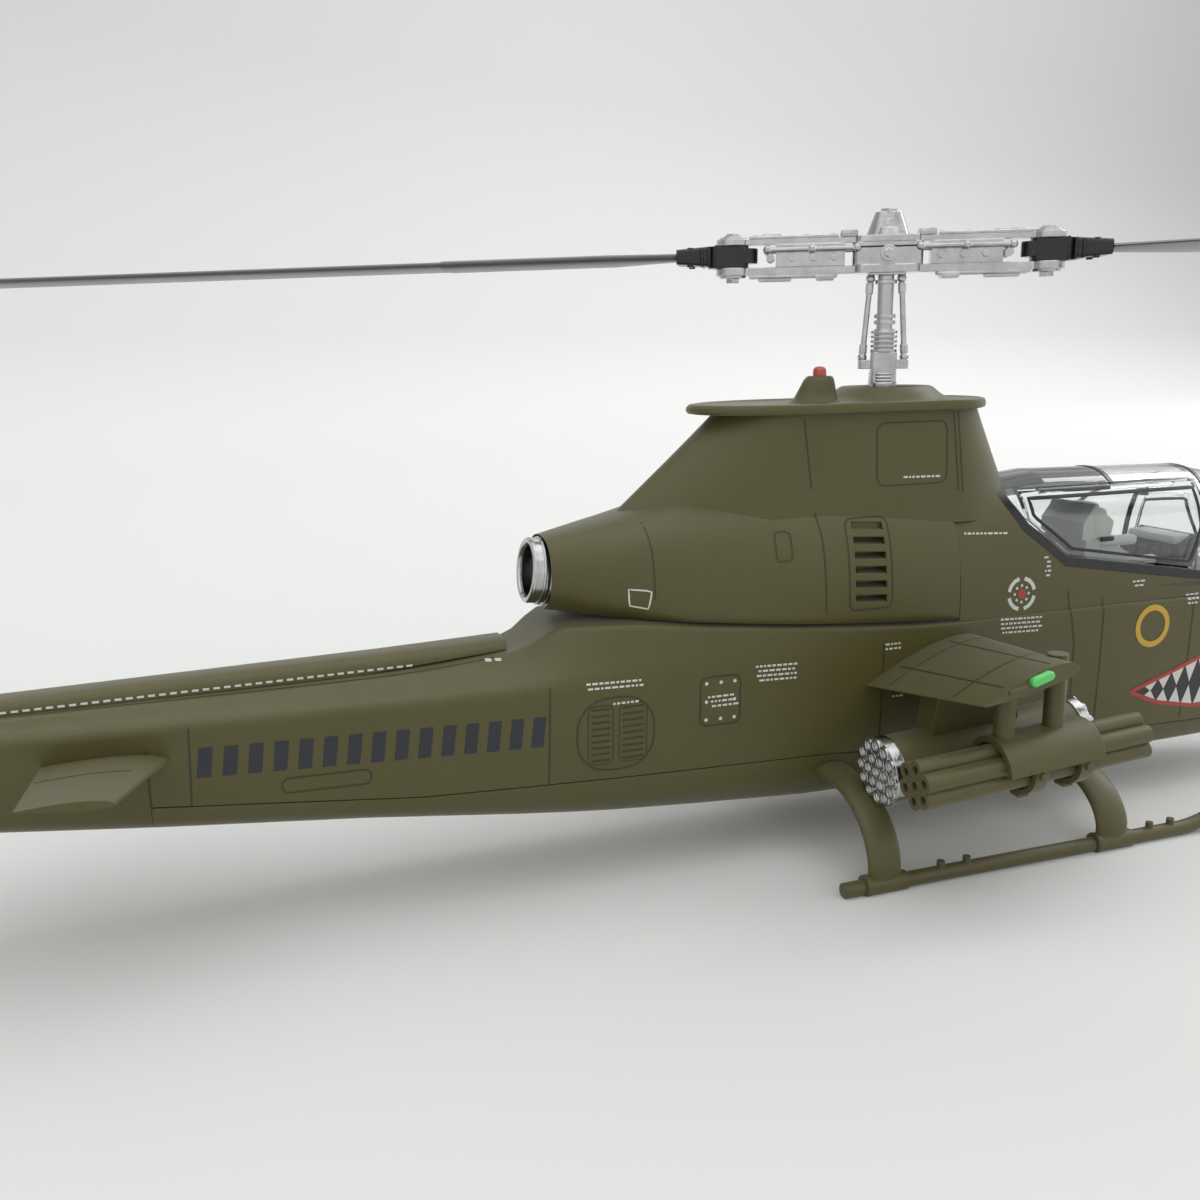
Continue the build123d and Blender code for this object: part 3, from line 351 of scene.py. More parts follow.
finishes = {
    "olivePaint": {"colour": (0.061, 0.053, 0.0095), "light": (0.077, 0.068, 0.015), "wornAndHighlight": (0.13, 0.12, 0.05),
                   "rough": 0.40, "wearAndHighlight": 0.3, "dust": 0.05, "fleck": 0.12, "specular": 0.5, "sheen": 0.16},
    "panelShade": {"colour": (0.028, 0.023, 0.007), "light": (0.038, 0.032, 0.011), "wornAndHighlight": (0.05, 0.045, 0.02),
                   "rough": 0.5, "wearAndHighlight": 0.1, "dust": 0.02, "fleck": 0.0},
    "markWhite": {"colour": (0.52, 0.52, 0.48), "light": (0.62, 0.62, 0.58), "wornAndHighlight": (0.3, 0.28, 0.2), "rough": 0.5,
                  "fleck": 0.0, "dust": 0.05},
    "markNavy": {"colour": (0.012, 0.013, 0.02), "light": (0.02, 0.02, 0.03), "wornAndHighlight": (0.05, 0.05, 0.04),
                 "rough": 0.42, "fleck": 0.05, "dust": 0.05},
    "markYellow": {"colour": (0.46, 0.28, 0.02), "light": (0.55, 0.35, 0.04), "wornAndHighlight": (0.3, 0.25, 0.1), "rough": 0.42,
                   "fleck": 0.05, "dust": 0.05},
    "markRed": {"colour": (0.3, 0.025, 0.022), "light": (0.4, 0.05, 0.045), "wornAndHighlight": (0.3, 0.2, 0.1), "rough": 0.42,
                "fleck": 0.05, "dust": 0.05},
    "markBlack": {"colour": (0.014, 0.014, 0.014), "light": (0.022, 0.022, 0.022), "wornAndHighlight": (0.05, 0.05, 0.04),
                  "rough": 0.4, "fleck": 0.05, "dust": 0.05},
    # silver's near-white edge tone and strong edge mask paint a highlight along its edges
    "silverPaint": {"colour": (0.30, 0.30, 0.305), "light": (0.66, 0.66, 0.66), "wornAndHighlight": (0.95, 0.95, 0.95),
                    "rough": 0.1, "metal": 1.0, "wearAndHighlight": 0.7, "dust": 0.02, "bump": 0.4, "speck": 1500.0,
                    "mottle": 420.0, "bumpDepth": 0.0001, "roughSpread": 0.2, "fleck": 0.1},
    "darkMetal": {"colour": (0.035, 0.035, 0.037), "light": (0.07, 0.07, 0.072), "wornAndHighlight": (0.25, 0.25, 0.25),
                  "rough": 0.35, "metal": 0.6, "wearAndHighlight": 0.5},
    "steelPin": {"colour": (0.4, 0.4, 0.4), "light": (0.6, 0.6, 0.6), "wornAndHighlight": (0.8, 0.8, 0.8),
                 "rough": 0.22, "metal": 1.0, "wearAndHighlight": 0.3},
    "blackPlastic": {"colour": (0.006, 0.006, 0.0065), "light": (0.012, 0.012, 0.012), "wornAndHighlight": (0.03, 0.03, 0.03),
                     "rough": 0.2, "wearAndHighlight": 0.2, "dust": 0.03, "fleck": 0.05},
    "bladeGrey": {"colour": (0.028, 0.028, 0.029), "light": (0.04, 0.04, 0.041), "wornAndHighlight": (0.2, 0.2, 0.2),
                  "rough": 0.24, "wearAndHighlight": 0.6, "dust": 0.05, "specular": 0.6, "edge": 0.0004},
    "tubGrey": {"colour": (0.10, 0.105, 0.10), "light": (0.15, 0.155, 0.15), "wornAndHighlight": (0.3, 0.3, 0.29), "rough": 0.6},
    "seatGrey": {"colour": (0.44, 0.44, 0.42), "light": (0.55, 0.55, 0.53), "wornAndHighlight": (0.7, 0.7, 0.68), "rough": 0.5,
                 "fleck": 0.1},
    "redLens": {"colour": (0.33, 0.02, 0.008), "light": (0.5, 0.05, 0.02), "wornAndHighlight": (0.6, 0.15, 0.1), "rough": 0.12,
                "coat": 0.8, "bump": 0.05},
    "greenLens": {"colour": (0.035, 0.42, 0.05), "light": (0.07, 0.6, 0.09), "wornAndHighlight": (0.3, 0.8, 0.3), "rough": 0.15,
                  "coat": 0.8, "bump": 0.05},
}
mats = {name: paintedFinish(name, look) for name, look in finishes.items()}
clearLook = {
    "clear": (0.93, 0.96, 0.95), "smoke": (0.012, 0.014, 0.014), "dust": 0.12, "rough": 0.02,
    # the smoke-tinted strip along the roof over the pilot, in metres
    "tintHalfWidth": 0.0049, "tintAbove": 0.0455, "tintFront": 0.0355,
}


# moulded clear plastic, with faint waviness and fine dust
def clearFinish():
    mat = bpy.data.materials.new("clearPlastic")
    mat.use_nodes = True
    tree = mat.node_tree
    shader = tree.nodes["Principled BSDF"]
    setAll(shader, {"Transmission Weight": 1.0, "IOR": 1.16, "Coat Weight": 1.0, "Coat IOR": 1.5,
                    "Coat Roughness": 0.02})
    coord = tree.nodes.new("ShaderNodeTexCoord").outputs["Object"]
    split = tree.nodes.new("ShaderNodeSeparateXYZ")
    tree.links.new(coord, split.inputs[0])
    middle = math2(tree, "LESS_THAN", math2(tree, "ABSOLUTE", split.outputs["Y"]), clearLook["tintHalfWidth"])
    high = math2(tree, "GREATER_THAN", split.outputs["Z"], clearLook["tintAbove"])
    back = math2(tree, "LESS_THAN", split.outputs["X"], clearLook["tintFront"])
    strip = math2(tree, "MULTIPLY", middle, math2(tree, "MULTIPLY", high, back))
    tree.links.new(mixColour(tree, strip, clearLook["clear"], clearLook["smoke"]), shader.inputs["Base Color"])
    dust = groupNode(tree, settledDust, Amount=clearLook["dust"])
    tree.links.new(math2(tree, "ADD", dust.outputs["Mask"], clearLook["rough"]), shader.inputs["Roughness"])
    addBump(tree, shader, noise(tree, coord, 160.0, 1.0), 0.08, 0.0002)
    return mat


mats["clearPlastic"] = clearFinish()
slotFinish = {
    "olive_paint": "olivePaint", "silver_paint": "silverPaint", "dark_metal": "darkMetal", "steel": "steelPin",
    "black_plastic": "blackPlastic", "blade_grey": "bladeGrey", "clear_plastic": "clearPlastic",
    "cockpit_grey": "tubGrey", "seat_grey": "seatGrey", "red_lens": "redLens", "green_lens": "greenLens",
}
for row in frame["record"]["subparts"]:
    node = nodes[row["node"]]
    node.data.materials.clear()
    node.data.materials.append(mats[slotFinish[row["material_slot"]]])
print("finishes done:", len(mats))


# new pieces are drawn in millimetres and finished in metres
# a smooth curve through (x, value) points that never overshoots them
def curveThrough(points):
    xs, ys = zip(*sorted(points))
    steps = [(ys[i + 1] - ys[i]) / (xs[i + 1] - xs[i]) for i in range(len(xs) - 1)]
    inner = [0.0 if a * b <= 0 else 2 * a * b / (a + b) for a, b in zip(steps, steps[1:])]
    slopes = [steps[0], *inner, steps[-1]]

    def at(x):
        x = min(max(x, xs[0]), xs[-1])
        i = min(bisect.bisect_right(xs, x) - 1, len(xs) - 2)
        h = xs[i + 1] - xs[i]
        t = (x - xs[i]) / h
        near = ys[i] * (1 + 2 * t) * (1 - t) ** 2 + h * slopes[i] * t * (1 - t) ** 2
        far = ys[i + 1] * t * t * (3 - 2 * t) - h * slopes[i + 1] * t * t * (1 - t)
        return near + far

    return at


# straight runs through (x, value) points
def lineThrough(points):
    def at(x):
        for (x0, y0), (x1, y1) in zip(points, points[1:]):
            if x <= x1:
                return y0 + (y1 - y0) * (max(x, x0) - x0) / (x1 - x0)
        return points[-1][1]

    return at


# the point at share t of a Bezier curve of any degree
def bezierAt(corners, t):
    level = [Vector(c) for c in corners]
    while len(level) > 1:
        level = [a.lerp(b, t) for a, b in zip(level, level[1:])]
    return level[0]


def bezier(corners, count):
    return [bezierAt(corners, i / (count - 1)) for i in range(count)]


# distance of each point of a polyline from its start
def distances(points):
    ends = [0.0]
    for a, b in zip(points, points[1:]):
        ends.append(ends[-1] + (b - a).length)
    return ends


def pointAt(points, ends, want):
    k = min(max(bisect.bisect_left(ends, want), 1), len(ends) - 1)
    run = ends[k] - ends[k - 1]
    return points[k - 1].lerp(points[k], 0 if run < 1e-9 else (want - ends[k - 1]) / run)


# count points spaced evenly along a polyline, ends included
def evenly(points, count):
    points = [Vector(p) for p in points]
    ends = distances(points)
    return [pointAt(points, ends, ends[-1] * i / (count - 1)) for i in range(count)]


# a grid of quads through rows of equal length; returns its vertices row by row
def addGrid(bm, rows):
    wide, tall = len(rows[0]), len(rows)
    made = bmesh.ops.create_grid(bm, x_segments=wide - 1, y_segments=tall - 1, size=1)["verts"]
    made.sort(key=lambda v: (round(v.co.y, 5), round(v.co.x, 5)))
    for vert, place in zip(made, (p for row in rows for p in row)):
        vert.co = place
    return [made[i * wide:(i + 1) * wide] for i in range(tall)]


# adds the port half to a starboard half and closes the seam on the centreline
def mirrored(bm):
    everything = bm.verts[:] + bm.edges[:] + bm.faces[:]
    bmesh.ops.mirror(bm, geom=everything, axis="Y", merge_dist=0.002)
    closed(bm)


def closed(bm):
    bmesh.ops.remove_doubles(bm, verts=bm.verts[:], dist=0.002)
    bmesh.ops.recalc_face_normals(bm, faces=bm.faces[:])


# writes a bmesh as a piece on a body, smooth except at sharp edges
def finished(name, bm, finish, body, sharp=40):
    bmesh.ops.scale(bm, vec=(mm, mm, mm), verts=bm.verts[:])
    for face in bm.faces:
        face.smooth = True
    for edge in bm.edges:
        if len(edge.link_faces) == 2 and edge.calc_face_angle(0) > math.radians(sharp):
            edge.smooth = False
    data = bpy.data.meshes.new(name)
    bm.to_mesh(data)
    bm.free()
    data.materials.append(mats[finish])
    piece = bpy.data.objects.new(name, data)
    bpy.context.scene.collection.objects.link(piece)
    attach(piece, body)
    return piece


# fuselage skin: one smooth shell over the hull casting, open at the cockpit and the belly pan
hullShape = {
    # x: keel, seam, seam half width, chine, chine half width, deck, deck half width
    -152: (20.0, 22.4, 3.2, 27.4, 3.8, 28.3, 2.2), -125: (16.8, 20.3, 5.6, 27.3, 6.3, 28.6, 3.0),
    -96: (13.6, 17.6, 7.2, 27.3, 8.0, 28.8, 3.3), -72: (11.2, 15.9, 8.2, 27.3, 8.9, 29.1, 3.6),
    -53: (8.9, 14.2, 9.0, 27.3, 9.6, 30.6, 4.6), -47: (8.2, 14.0, 9.2, 27.4, 9.8, 33.6, 6.6),
    -41: (7.6, 13.8, 9.4, 27.7, 9.9, 33.7, 8.6), -30: (6.7, 13.7, 9.5, 28.1, 10.0, 32.7, 9.5),
    -14: (5.6, 13.5, 9.6, 28.4, 10.0, 31.2, 9.9), 7: (5.4, 12.6, 9.6, 28.6, 10.0, 29.9, 10.0),
    30: (5.4, 11.1, 9.6, 28.8, 10.0, 30.0, 9.9), 57: (5.8, 10.2, 8.8, 28.4, 9.4, 29.6, 9.2),
    70: (8.4, 12.4, 6.6, 26.6, 7.2, 28.2, 6.8), 78: (11.6, 14.6, 4.4, 23.6, 5.0, 25.2, 4.4),
    84: (15.6, 16.6, 1.4, 19.4, 1.7, 20.2, 1.3),
}
hullDetail = {
    "rear": -152.0, "front": 84.0, "panRear": -96.0, "panFront": 57.2, "turretTop": 12.4, "seamLift": 0.16,
    "lipDepth": 0.7, "chineRound": 1.1, "deckRound": 0.7, "beadRear": -58.0, "beadHeight": 0.38,
    "beadRise": (0, 0, 0, 0.35, 1, 0.8, 0.1), "wellRear": 19.2, "wellFront": 69.0, "step": 1.9,
    "noseFrom": 60, "noseStep": 1.0,
}
hullCurves = [curveThrough([(x, row[k]) for x, row in hullShape.items()]) for k in range(7)]
panSeam = lineThrough([(-96, 17.6), (-66, 14.9), (-13, 13.5), (30, 11.1), (57.2, 10.2)])
wellEdge = lineThrough([(19.2, 8.1), (56, 7.4), (69, 4.8)])


# starboard outline at x, from the bottom centre up and over to the top centre, as (y, z)
def hullProfile(x, openBelow):
    keel, seam, seamW, chine, chineW, deck, deckW = (curve(x) for curve in hullCurves)
    drop = seam - keel
    belly = bezier([(0, keel), (0.62 * seamW, keel), (seamW, keel + 0.35 * drop), (seamW, seam)], 22)
    side = bezier([(seamW, seam), (0.5 * (seamW + chineW) + 0.25, 0.5 * (seam + chine)), (chineW, chine)], 14)
    lower = belly + side[1:]
    floorZ = keel
    if openBelow:
        floorZ = panSeam(x) + hullDetail["seamLift"] if x < hullDetail["panFront"] else hullDetail["turretTop"]
    if floorZ > keel:
        k = next(i for i, p in enumerate(lower) if p.y > floorZ)
        a, b = lower[k - 1], lower[k]
        lower = [a.lerp(b, (floorZ - a.y) / (b.y - a.y))] + lower[k:]
    start = lower[0]
    lipY = max(start.x - hullDetail["lipDepth"], 0) if openBelow and x < hullDetail["panFront"] else 0
    chinePoint, deckPoint = Vector((chineW, chine)), Vector((deckW, deck))
    slope = deckPoint - chinePoint
    round1 = min(hullDetail["chineRound"], 0.3 * slope.length)
    round2 = min(hullDetail["deckRound"], 0.3 * slope.length)
    below = (chinePoint - lower[-3]).normalized()
    turnIn = chinePoint - below * round1
    keep = [p for p in lower if p.y < turnIn.y] + [turnIn]
    corner = bezier([turnIn, chinePoint, chinePoint + slope.normalized() * round1], 5)
    shoulder = bezier([corner[-1], deckPoint - slope.normalized() * round2], 7)
    bead = hullDetail["beadHeight"] * min(max((hullDetail["beadRear"] - x) / 8, 0), 1)
    for p, rise in zip(shoulder, hullDetail["beadRise"]):
        p.y += bead * rise
    over = bezier([shoulder[-1], deckPoint, (deckW - round2, deck)], 4)
    inner = min(deckW - round2 - 0.2, wellEdge(x))
    outline = [(lipY, start.y)] + list(evenly(keep, 15)) + corner[1:] + shoulder[1:] + over[1:]
    return [Vector(p) for p in outline] + [Vector((inner, deck)), Vector((0, deck))]


# open edges whose ends both stand at a place on one axis
def rimAt(bm, axis, place):
    return [e for e in bm.edges if e.is_boundary and all(abs(v.co[axis] - place) < 0.01 for v in e.verts)]


def oliveSkin(name, bm):
    return finished(name, bm, "olivePaint", "airframe", 32)


def buildHull():
    bm = bmesh.new()
    panRear, panFront = hullDetail["panRear"], hullDetail["panFront"]
    wellRear, wellFront = hullDetail["wellRear"], hullDetail["wellFront"]
    rows = []
    x = hullDetail["rear"]
    while x < hullDetail["front"]:
        rows.append((x, panRear <= x))
        x += hullDetail["step"] if x < hullDetail["noseFrom"] else hullDetail["noseStep"]
    rows.append((panRear - 0.05, False))
    rows += [(x, True) for x in (panRear, panFront - 0.02, panFront + 0.02, wellRear, wellFront, hullDetail["front"])]
    rows.sort()
    grid = addGrid(bm, [[Vector((x, -p.x, p.y)) for p in hullProfile(x, opened)] for x, opened in rows])
    deck = {v for row in grid for v in row[-2:]}
    gone = [f for f in bm.faces if wellRear < f.calc_center_median().x < wellFront and all(v in deck for v in f.verts)]
    bmesh.ops.delete(bm, geom=gone, context="FACES")
    mirrored(bm)
    for end in ("rear", "front"):
        bmesh.ops.holes_fill(bm, edges=rimAt(bm, 0, hullDetail[end]), sides=0)
    bmesh.ops.recalc_face_normals(bm, faces=bm.faces[:])
    return oliveSkin("hullSkin", bm)


# rear canopy arch, from the cowling forward to the canopy's edge
archShape = {
    # x: half width, sill, roof
    7.5: (9.9, 30.0, 47.4), 24: (9.7, 30.0, 48.9), 51: (9.3, 30.0, 48.4), 57: (9.0, 29.8, 47.2),
    62: (8.5, 29.4, 44.8), 67: (7.6, 28.6, 40.8), 72: (6.4, 27.4, 35.2), 76: (5.0, 26.2, 29.4),
}
archCurves = [curveThrough([(x, row[k]) for x, row in archShape.items()]) for k in range(3)]
archDetail = {"rear": 7.2, "edgeFrom": 14.3, "edgeTo": 75.9, "linesAcross": 37, "stepsAlong": 44}
canopyEdge = lineThrough([(14.3, 48.7), (15.9, 44.6), (17.8, 41.4), (24.6, 36.1), (48.6, 32.4), (80, 28.2)])


def archPoint(x, t):
    wide, sill, roof = (curve(x) for curve in archCurves)
    place = bezierAt([(wide, sill), (wide, sill + 0.72 * (roof - sill)), (0.62 * wide, roof), (0, roof)], t)
    return Vector((x, -place.x, place.y))


# x where the arch's line t meets the canopy's edge
def edgeOfArch(t):
    low, high = archDetail["edgeFrom"], archDetail["edgeTo"]
    for _ in range(30):
        mid = 0.5 * (low + high)
        if archPoint(mid, t).z < canopyEdge(mid):
            low = mid
        else:
            high = mid
    return low


def buildArch():
    bm = bmesh.new()
    rear, steps = archDetail["rear"], archDetail["stepsAlong"]
    rows = []
    for i in range(archDetail["linesAcross"]):
        t = i / (archDetail["linesAcross"] - 1)
        reach = edgeOfArch(t)
        rows.append([archPoint(rear + (reach - rear) * k / steps, t) for k in range(steps + 1)])
    addGrid(bm, rows)
    mirrored(bm)
    return oliveSkin("archSkin", bm)


# engine cowling with its louvres, and the rotor pylon fairing
cowlShape = {
    # x: base, base half width, side, side half width, top
    -48.6: (34.8, 1.2, 39.3, 4.9, 44.0), -41: (34.0, 5.6, 38.6, 7.8, 45.7), -30: (33.0, 8.9, 34.4, 9.7, 48.2),
    -14: (31.5, 9.6, 32.4, 10.2, 48.9), 6.9: (30.2, 9.7, 31.0, 10.1, 47.2),
}
cowlDetail = {
    "rear": -48.6, "front": 6.9, "rowsBehind": 24, "rowsOver": 4, "rowsAhead": 8, "below": 8, "above": 16,
    "louvreRear": -9.2, "louvreFront": -4.5, "louvreTop": 44.15, "louvrePitch": 1.86, "louvreOpen": 0.95,
    "louvreCount": 6, "louvreSink": (0.7, 1.9, 0.25),
}
cowlCurves = [curveThrough([(x, row[k]) for x, row in cowlShape.items()]) for k in range(5)]


def cowlCurve(x):
    base, baseW, side, sideW, top = (curve(x) for curve in cowlCurves)
    rise = top - side
    return bezier([(baseW, base), (sideW, base + 0.3 * (side - base)), (sideW, side)], 6)[:-1] + bezier(
        [(sideW, side), (sideW, side + 0.66 * rise), (0.75 * sideW, top), (0, top)], 40
    )


# heights of the slot edges, as shares of the cowling's outline where the slots are
def louvreLevels():
    points = cowlCurve(0.5 * (cowlDetail["louvreRear"] + cowlDetail["louvreFront"]))
    lengths = distances(points)
    levels = []
    for i in range(cowlDetail["louvreCount"]):
        top = cowlDetail["louvreTop"] - cowlDetail["louvrePitch"] * i
        for z in (top, top - cowlDetail["louvreOpen"]):
            k = next(j for j, p in enumerate(points) if p.y > z)
            t = (z - points[k - 1].y) / (points[k].y - points[k - 1].y)
            levels.append((lengths[k - 1] + t * (lengths[k] - lengths[k - 1])) / lengths[-1])
    return sorted(levels)


# count even steps from one number towards another, the last number left out
def stepped(start, end, count):
    return [start + (end - start) * i / count for i in range(count)]


def buildCowling():
    bm = bmesh.new()
    rear, front, slotRear, slotFront = (cowlDetail[k] for k in ("rear", "front", "louvreRear", "louvreFront"))
    below, behind, over = cowlDetail["below"], cowlDetail["rowsBehind"], cowlDetail["rowsOver"]
    slots = louvreLevels()
    shares = stepped(0, slots[0], below) + slots[:-1] + stepped(slots[-1], 1, cowlDetail["above"]) + [1]
    xs = stepped(rear, slotRear, behind) + stepped(slotRear, slotFront, over)
    xs += stepped(slotFront, front, cowlDetail["rowsAhead"]) + [front]
    rows = []
    for x in xs:
        points = cowlCurve(x)
        ends = distances(points)
        rows.append([Vector((x, -q.x, q.y)) for q in (pointAt(points, ends, s * ends[-1]) for s in shares)])
    grid = addGrid(bm, rows)
    openings = []
    for k in range(cowlDetail["louvreCount"]):
        low = below + 2 * k
        wanted = {v for row in grid[behind:behind + over + 1] for v in row[low:low + 2]}
        openings += [f for f in bm.faces if all(v in wanted for v in f.verts)]
    sunk = bmesh.ops.extrude_face_region(bm, geom=openings)["geom"]
    bmesh.ops.translate(bm, vec=cowlDetail["louvreSink"], verts=vertsIn(sunk))
    bmesh.ops.delete(bm, geom=openings, context="FACES")
    mirrored(bm)
    turned = bmesh.ops.extrude_edge_only(bm, edges=rimAt(bm, 0, front))["geom"]
    for vert in vertsIn(turned):
        vert.co.y *= 0.94
        vert.co.z -= 0.5
    bmesh.ops.recalc_face_normals(bm, faces=bm.faces[:])
    return oliveSkin("cowlingSkin", bm)


pylonShape = {
    # height, rear point, shoulder, half width, front corner, front point
    "foot": (43.2, -42.0, -20.0, 7.8, 8.8, 21.6), "head": (58.25, -24.6, -16.0, 6.9, 6.4, 14.0), "rows": 14,
}


# starboard half of the fairing's plan, rear point to front point
def pylonPlan(rear, shoulder, half, corner, front):
    return (
        bezier([(rear, 0), (rear, 0.45 * half), (shoulder - 4, half), (shoulder, half)], 16)
        + bezier([(shoulder, half), (corner, half)], 12)[1:]
        + bezier([(corner, half), (corner + 3.5, half), (front, 0.55 * half), (front, 0)], 16)[1:]
    )


def buildPylon():
    bm = bmesh.new()
    foot, head = pylonShape["foot"], pylonShape["head"]
    low, high = pylonPlan(*foot[1:]), pylonPlan(*head[1:])
    rows = []
    for i in range(pylonShape["rows"] + 1):
        t = i / pylonShape["rows"]
        z = foot[0] + (head[0] - foot[0]) * t
        rows.append([Vector((a.lerp(b, t).x, -a.lerp(b, t).y, z)) for a, b in zip(low, high)])
    addGrid(bm, rows)
    mirrored(bm)
    return oliveSkin("pylonSkin", bm)


# pylon cap: a thin lipped plate, the collar round the mast and the beacon's housing, a swept-back cone
capShape = {
    "bottom": 58.15, "mastX": 0.6, "planSteps": 15, "turnSteps": 32,
    # how far out towards the rim, height above the plate's underside
    "plate": [(0.80, -0.05), (0.97, 0.0), (0.992, 0.1), (1.0, 0.42), (0.998, 0.85), (0.985, 1.2), (0.955, 1.3),
              (0.92, 1.12), (0.87, 1.02)],
    # half length, half width, height
    "collar": [(11.2, 6.9, 1.06), (9.6, 6.65, 1.25), (8.3, 6.35, 1.6), (7.4, 6.0, 2.1), (6.6, 5.5, 2.75),
               (6.1, 5.1, 2.98), (5.5, 4.6, 2.8), (5.2, 4.25, 2.3), (5.1, 4.15, 1.2)],
    # x, half length, half width, height
    "housing": [(-10.2, 3.6, 2.7, 1.1), (-10.1, 3.1, 2.3, 1.5), (-9.9, 2.6, 1.95, 2.7), (-9.7, 2.15, 1.6, 3.9),
                (-9.6, 1.9, 1.4, 4.3), (-9.6, 1.6, 1.15, 4.5), (-9.6, 1.0, 0.95, 4.5)],
}


def capPlan(count):
    return (
        bezier([(-28.4, 0), (-28.4, 4.4), (-22, 7.9), (-15, 8.2)], count)
        + bezier([(-15, 8.2), (6.6, 8.2)], count)[1:]
        + bezier([(6.6, 8.2), (11, 8.2), (14.9, 4.6), (14.9, 0)], count)[1:]
    )


def buildCap():
    bm = bmesh.new()
    plan = capPlan(capShape["planSteps"])
    mastX, bottom = capShape["mastX"], capShape["bottom"]

    def ovalRow(x, rx, ry, up, turns):
        return [Vector((x + rx * math.cos(a), ry * math.sin(a), bottom + up)) for a in turns]

    rows = [[Vector((mastX + (p.x - mastX) * share, -p.y * share, bottom + up)) for p in plan]
            for share, up in capShape["plate"]]
    halfTurn = [math.pi * (1 - i / (len(plan) - 1)) for i in range(len(plan))]
    rows += [ovalRow(mastX, rx, -ry, up, halfTurn) for rx, ry, up in capShape["collar"]]
    addGrid(bm, rows)
    mirrored(bm)
    inside, _, floor = capShape["collar"][-1]
    well = [e for e in rimAt(bm, 2, bottom + floor) if abs(e.verts[0].co.x) < inside + 0.9]
    bmesh.ops.holes_fill(bm, edges=well, sides=0)
    fullTurn = [2 * math.pi * i / capShape["turnSteps"] for i in range(capShape["turnSteps"] + 1)]
    addGrid(bm, [ovalRow(*level, fullTurn) for level in capShape["housing"]])
    closed(bm)
    return oliveSkin("capSkin", bm)


hullSkin = buildHull()
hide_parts("hull_casting")
archSkin = buildArch()
cowlingSkin = buildCowling()
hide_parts("engine_cowling")
pylonSkin = buildPylon()
capSkin = buildCap()
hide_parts("pylon_cap")
print("fuselage skins done")

# thin pieces laid on the skins: panel lines, stencils and coloured markings
laidOn = [hullSkin, archSkin, cowlingSkin, pylonSkin, capSkin]
laidOn += [nodes[n] for n in ("belly_pan", "drive_shaft_cover", "tail_fin")]


def treeOf(pieces):
    places, faces = [], []
    for piece in pieces:
        base = len(places)
        places += [piece.matrix_world @ v.co / mm for v in piece.data.vertices]
        faces += [[base + i for i in poly.vertices] for poly in piece.data.polygons]
    return BVHTree.FromPolygons(places, faces)


bpy.context.view_layer.update()
surfaces = {
    "skins": treeOf(laidOn),
    "canopy": treeOf([nodes[n] for n in ("canopy_glass", "canopy_frame", "pilot_door", "gunner_door")]),
    "wings": treeOf([nodes[n] for n in ("wing_starboard", "wing_port", "elevator_starboard", "elevator_port")]),
    "fin": treeOf([nodes["tail_fin"]]),
}
castFrom = {
    "starboard": (lambda a, b: Vector((a, -60, b)), Vector((0, 1, 0))),
    "port": (lambda a, b: Vector((a, 60, b)), Vector((0, -1, 0))),
    "top": (lambda a, b: Vector((a, b, 120)), Vector((0, 0, -1))),
}


# the point on the skins that a flat drawing point falls on, lifted a little off them
def laid(point, view, lift, on="skins"):
    start, ahead = castFrom[view]
    place, normal, _, _ = surfaces[on].ray_cast(start(point[0], point[1]), ahead)
    if place is None:
        return None
    if normal.dot(ahead) > 0:
        normal = -normal
    return place + normal * lift


# fills between two lines of equal length in a flat drawing, laid on the skins
def addPatch(bm, low, high, view, lift, rows, on="skins"):
    grid = []
    for k in range(rows + 1):
        grid.append([laid(a.lerp(b, k / rows), view, lift, on) for a, b in zip(low, high)])
    if all(p is not None for row in grid for p in row):
        addGrid(bm, grid)


# a line of even width in a flat drawing, laid on the skins
def addStroke(bm, points, width, view, lift=0.03, loop=False, pitch=0.7, on="skins"):
    points = [Vector(p) for p in points]
    if loop:
        points = points + [points[0]]
    line = evenly(points, max(2, int(distances(points)[-1] / pitch) + 1))
    low, high = [], []
    for i, p in enumerate(line):
        before = line[i - 1] if i else (line[-2] if loop else p)
        after = line[i + 1] if i < len(line) - 1 else (line[1] if loop else p)
        along = (after - before).normalized()
        out = Vector((-along.y, along.x)) * 0.5 * width
        low.append(p - out)
        high.append(p + out)
    addPatch(bm, low, high, view, lift, max(1, round(width / 0.8)), on)


def ring(x, z, radius, count=40):
    return [(x + radius * math.cos(2 * math.pi * i / count), z + radius * math.sin(2 * math.pi * i / count))
            for i in range(count)]


# outline of a box with rounded corners, as a closed list of points
def roundedBox(x0, z0, x1, z1, corner):
    made = []
    for cx, cz, start in ((x1 - corner, z1 - corner, 0), (x0 + corner, z1 - corner, 90),
                          (x0 + corner, z0 + corner, 180), (x1 - corner, z0 + corner, 270)):
        for k in range(5):
            turn = math.radians(start + 22.5 * k)
            made.append((cx + corner * math.cos(turn), cz + corner * math.sin(turn)))
    return made


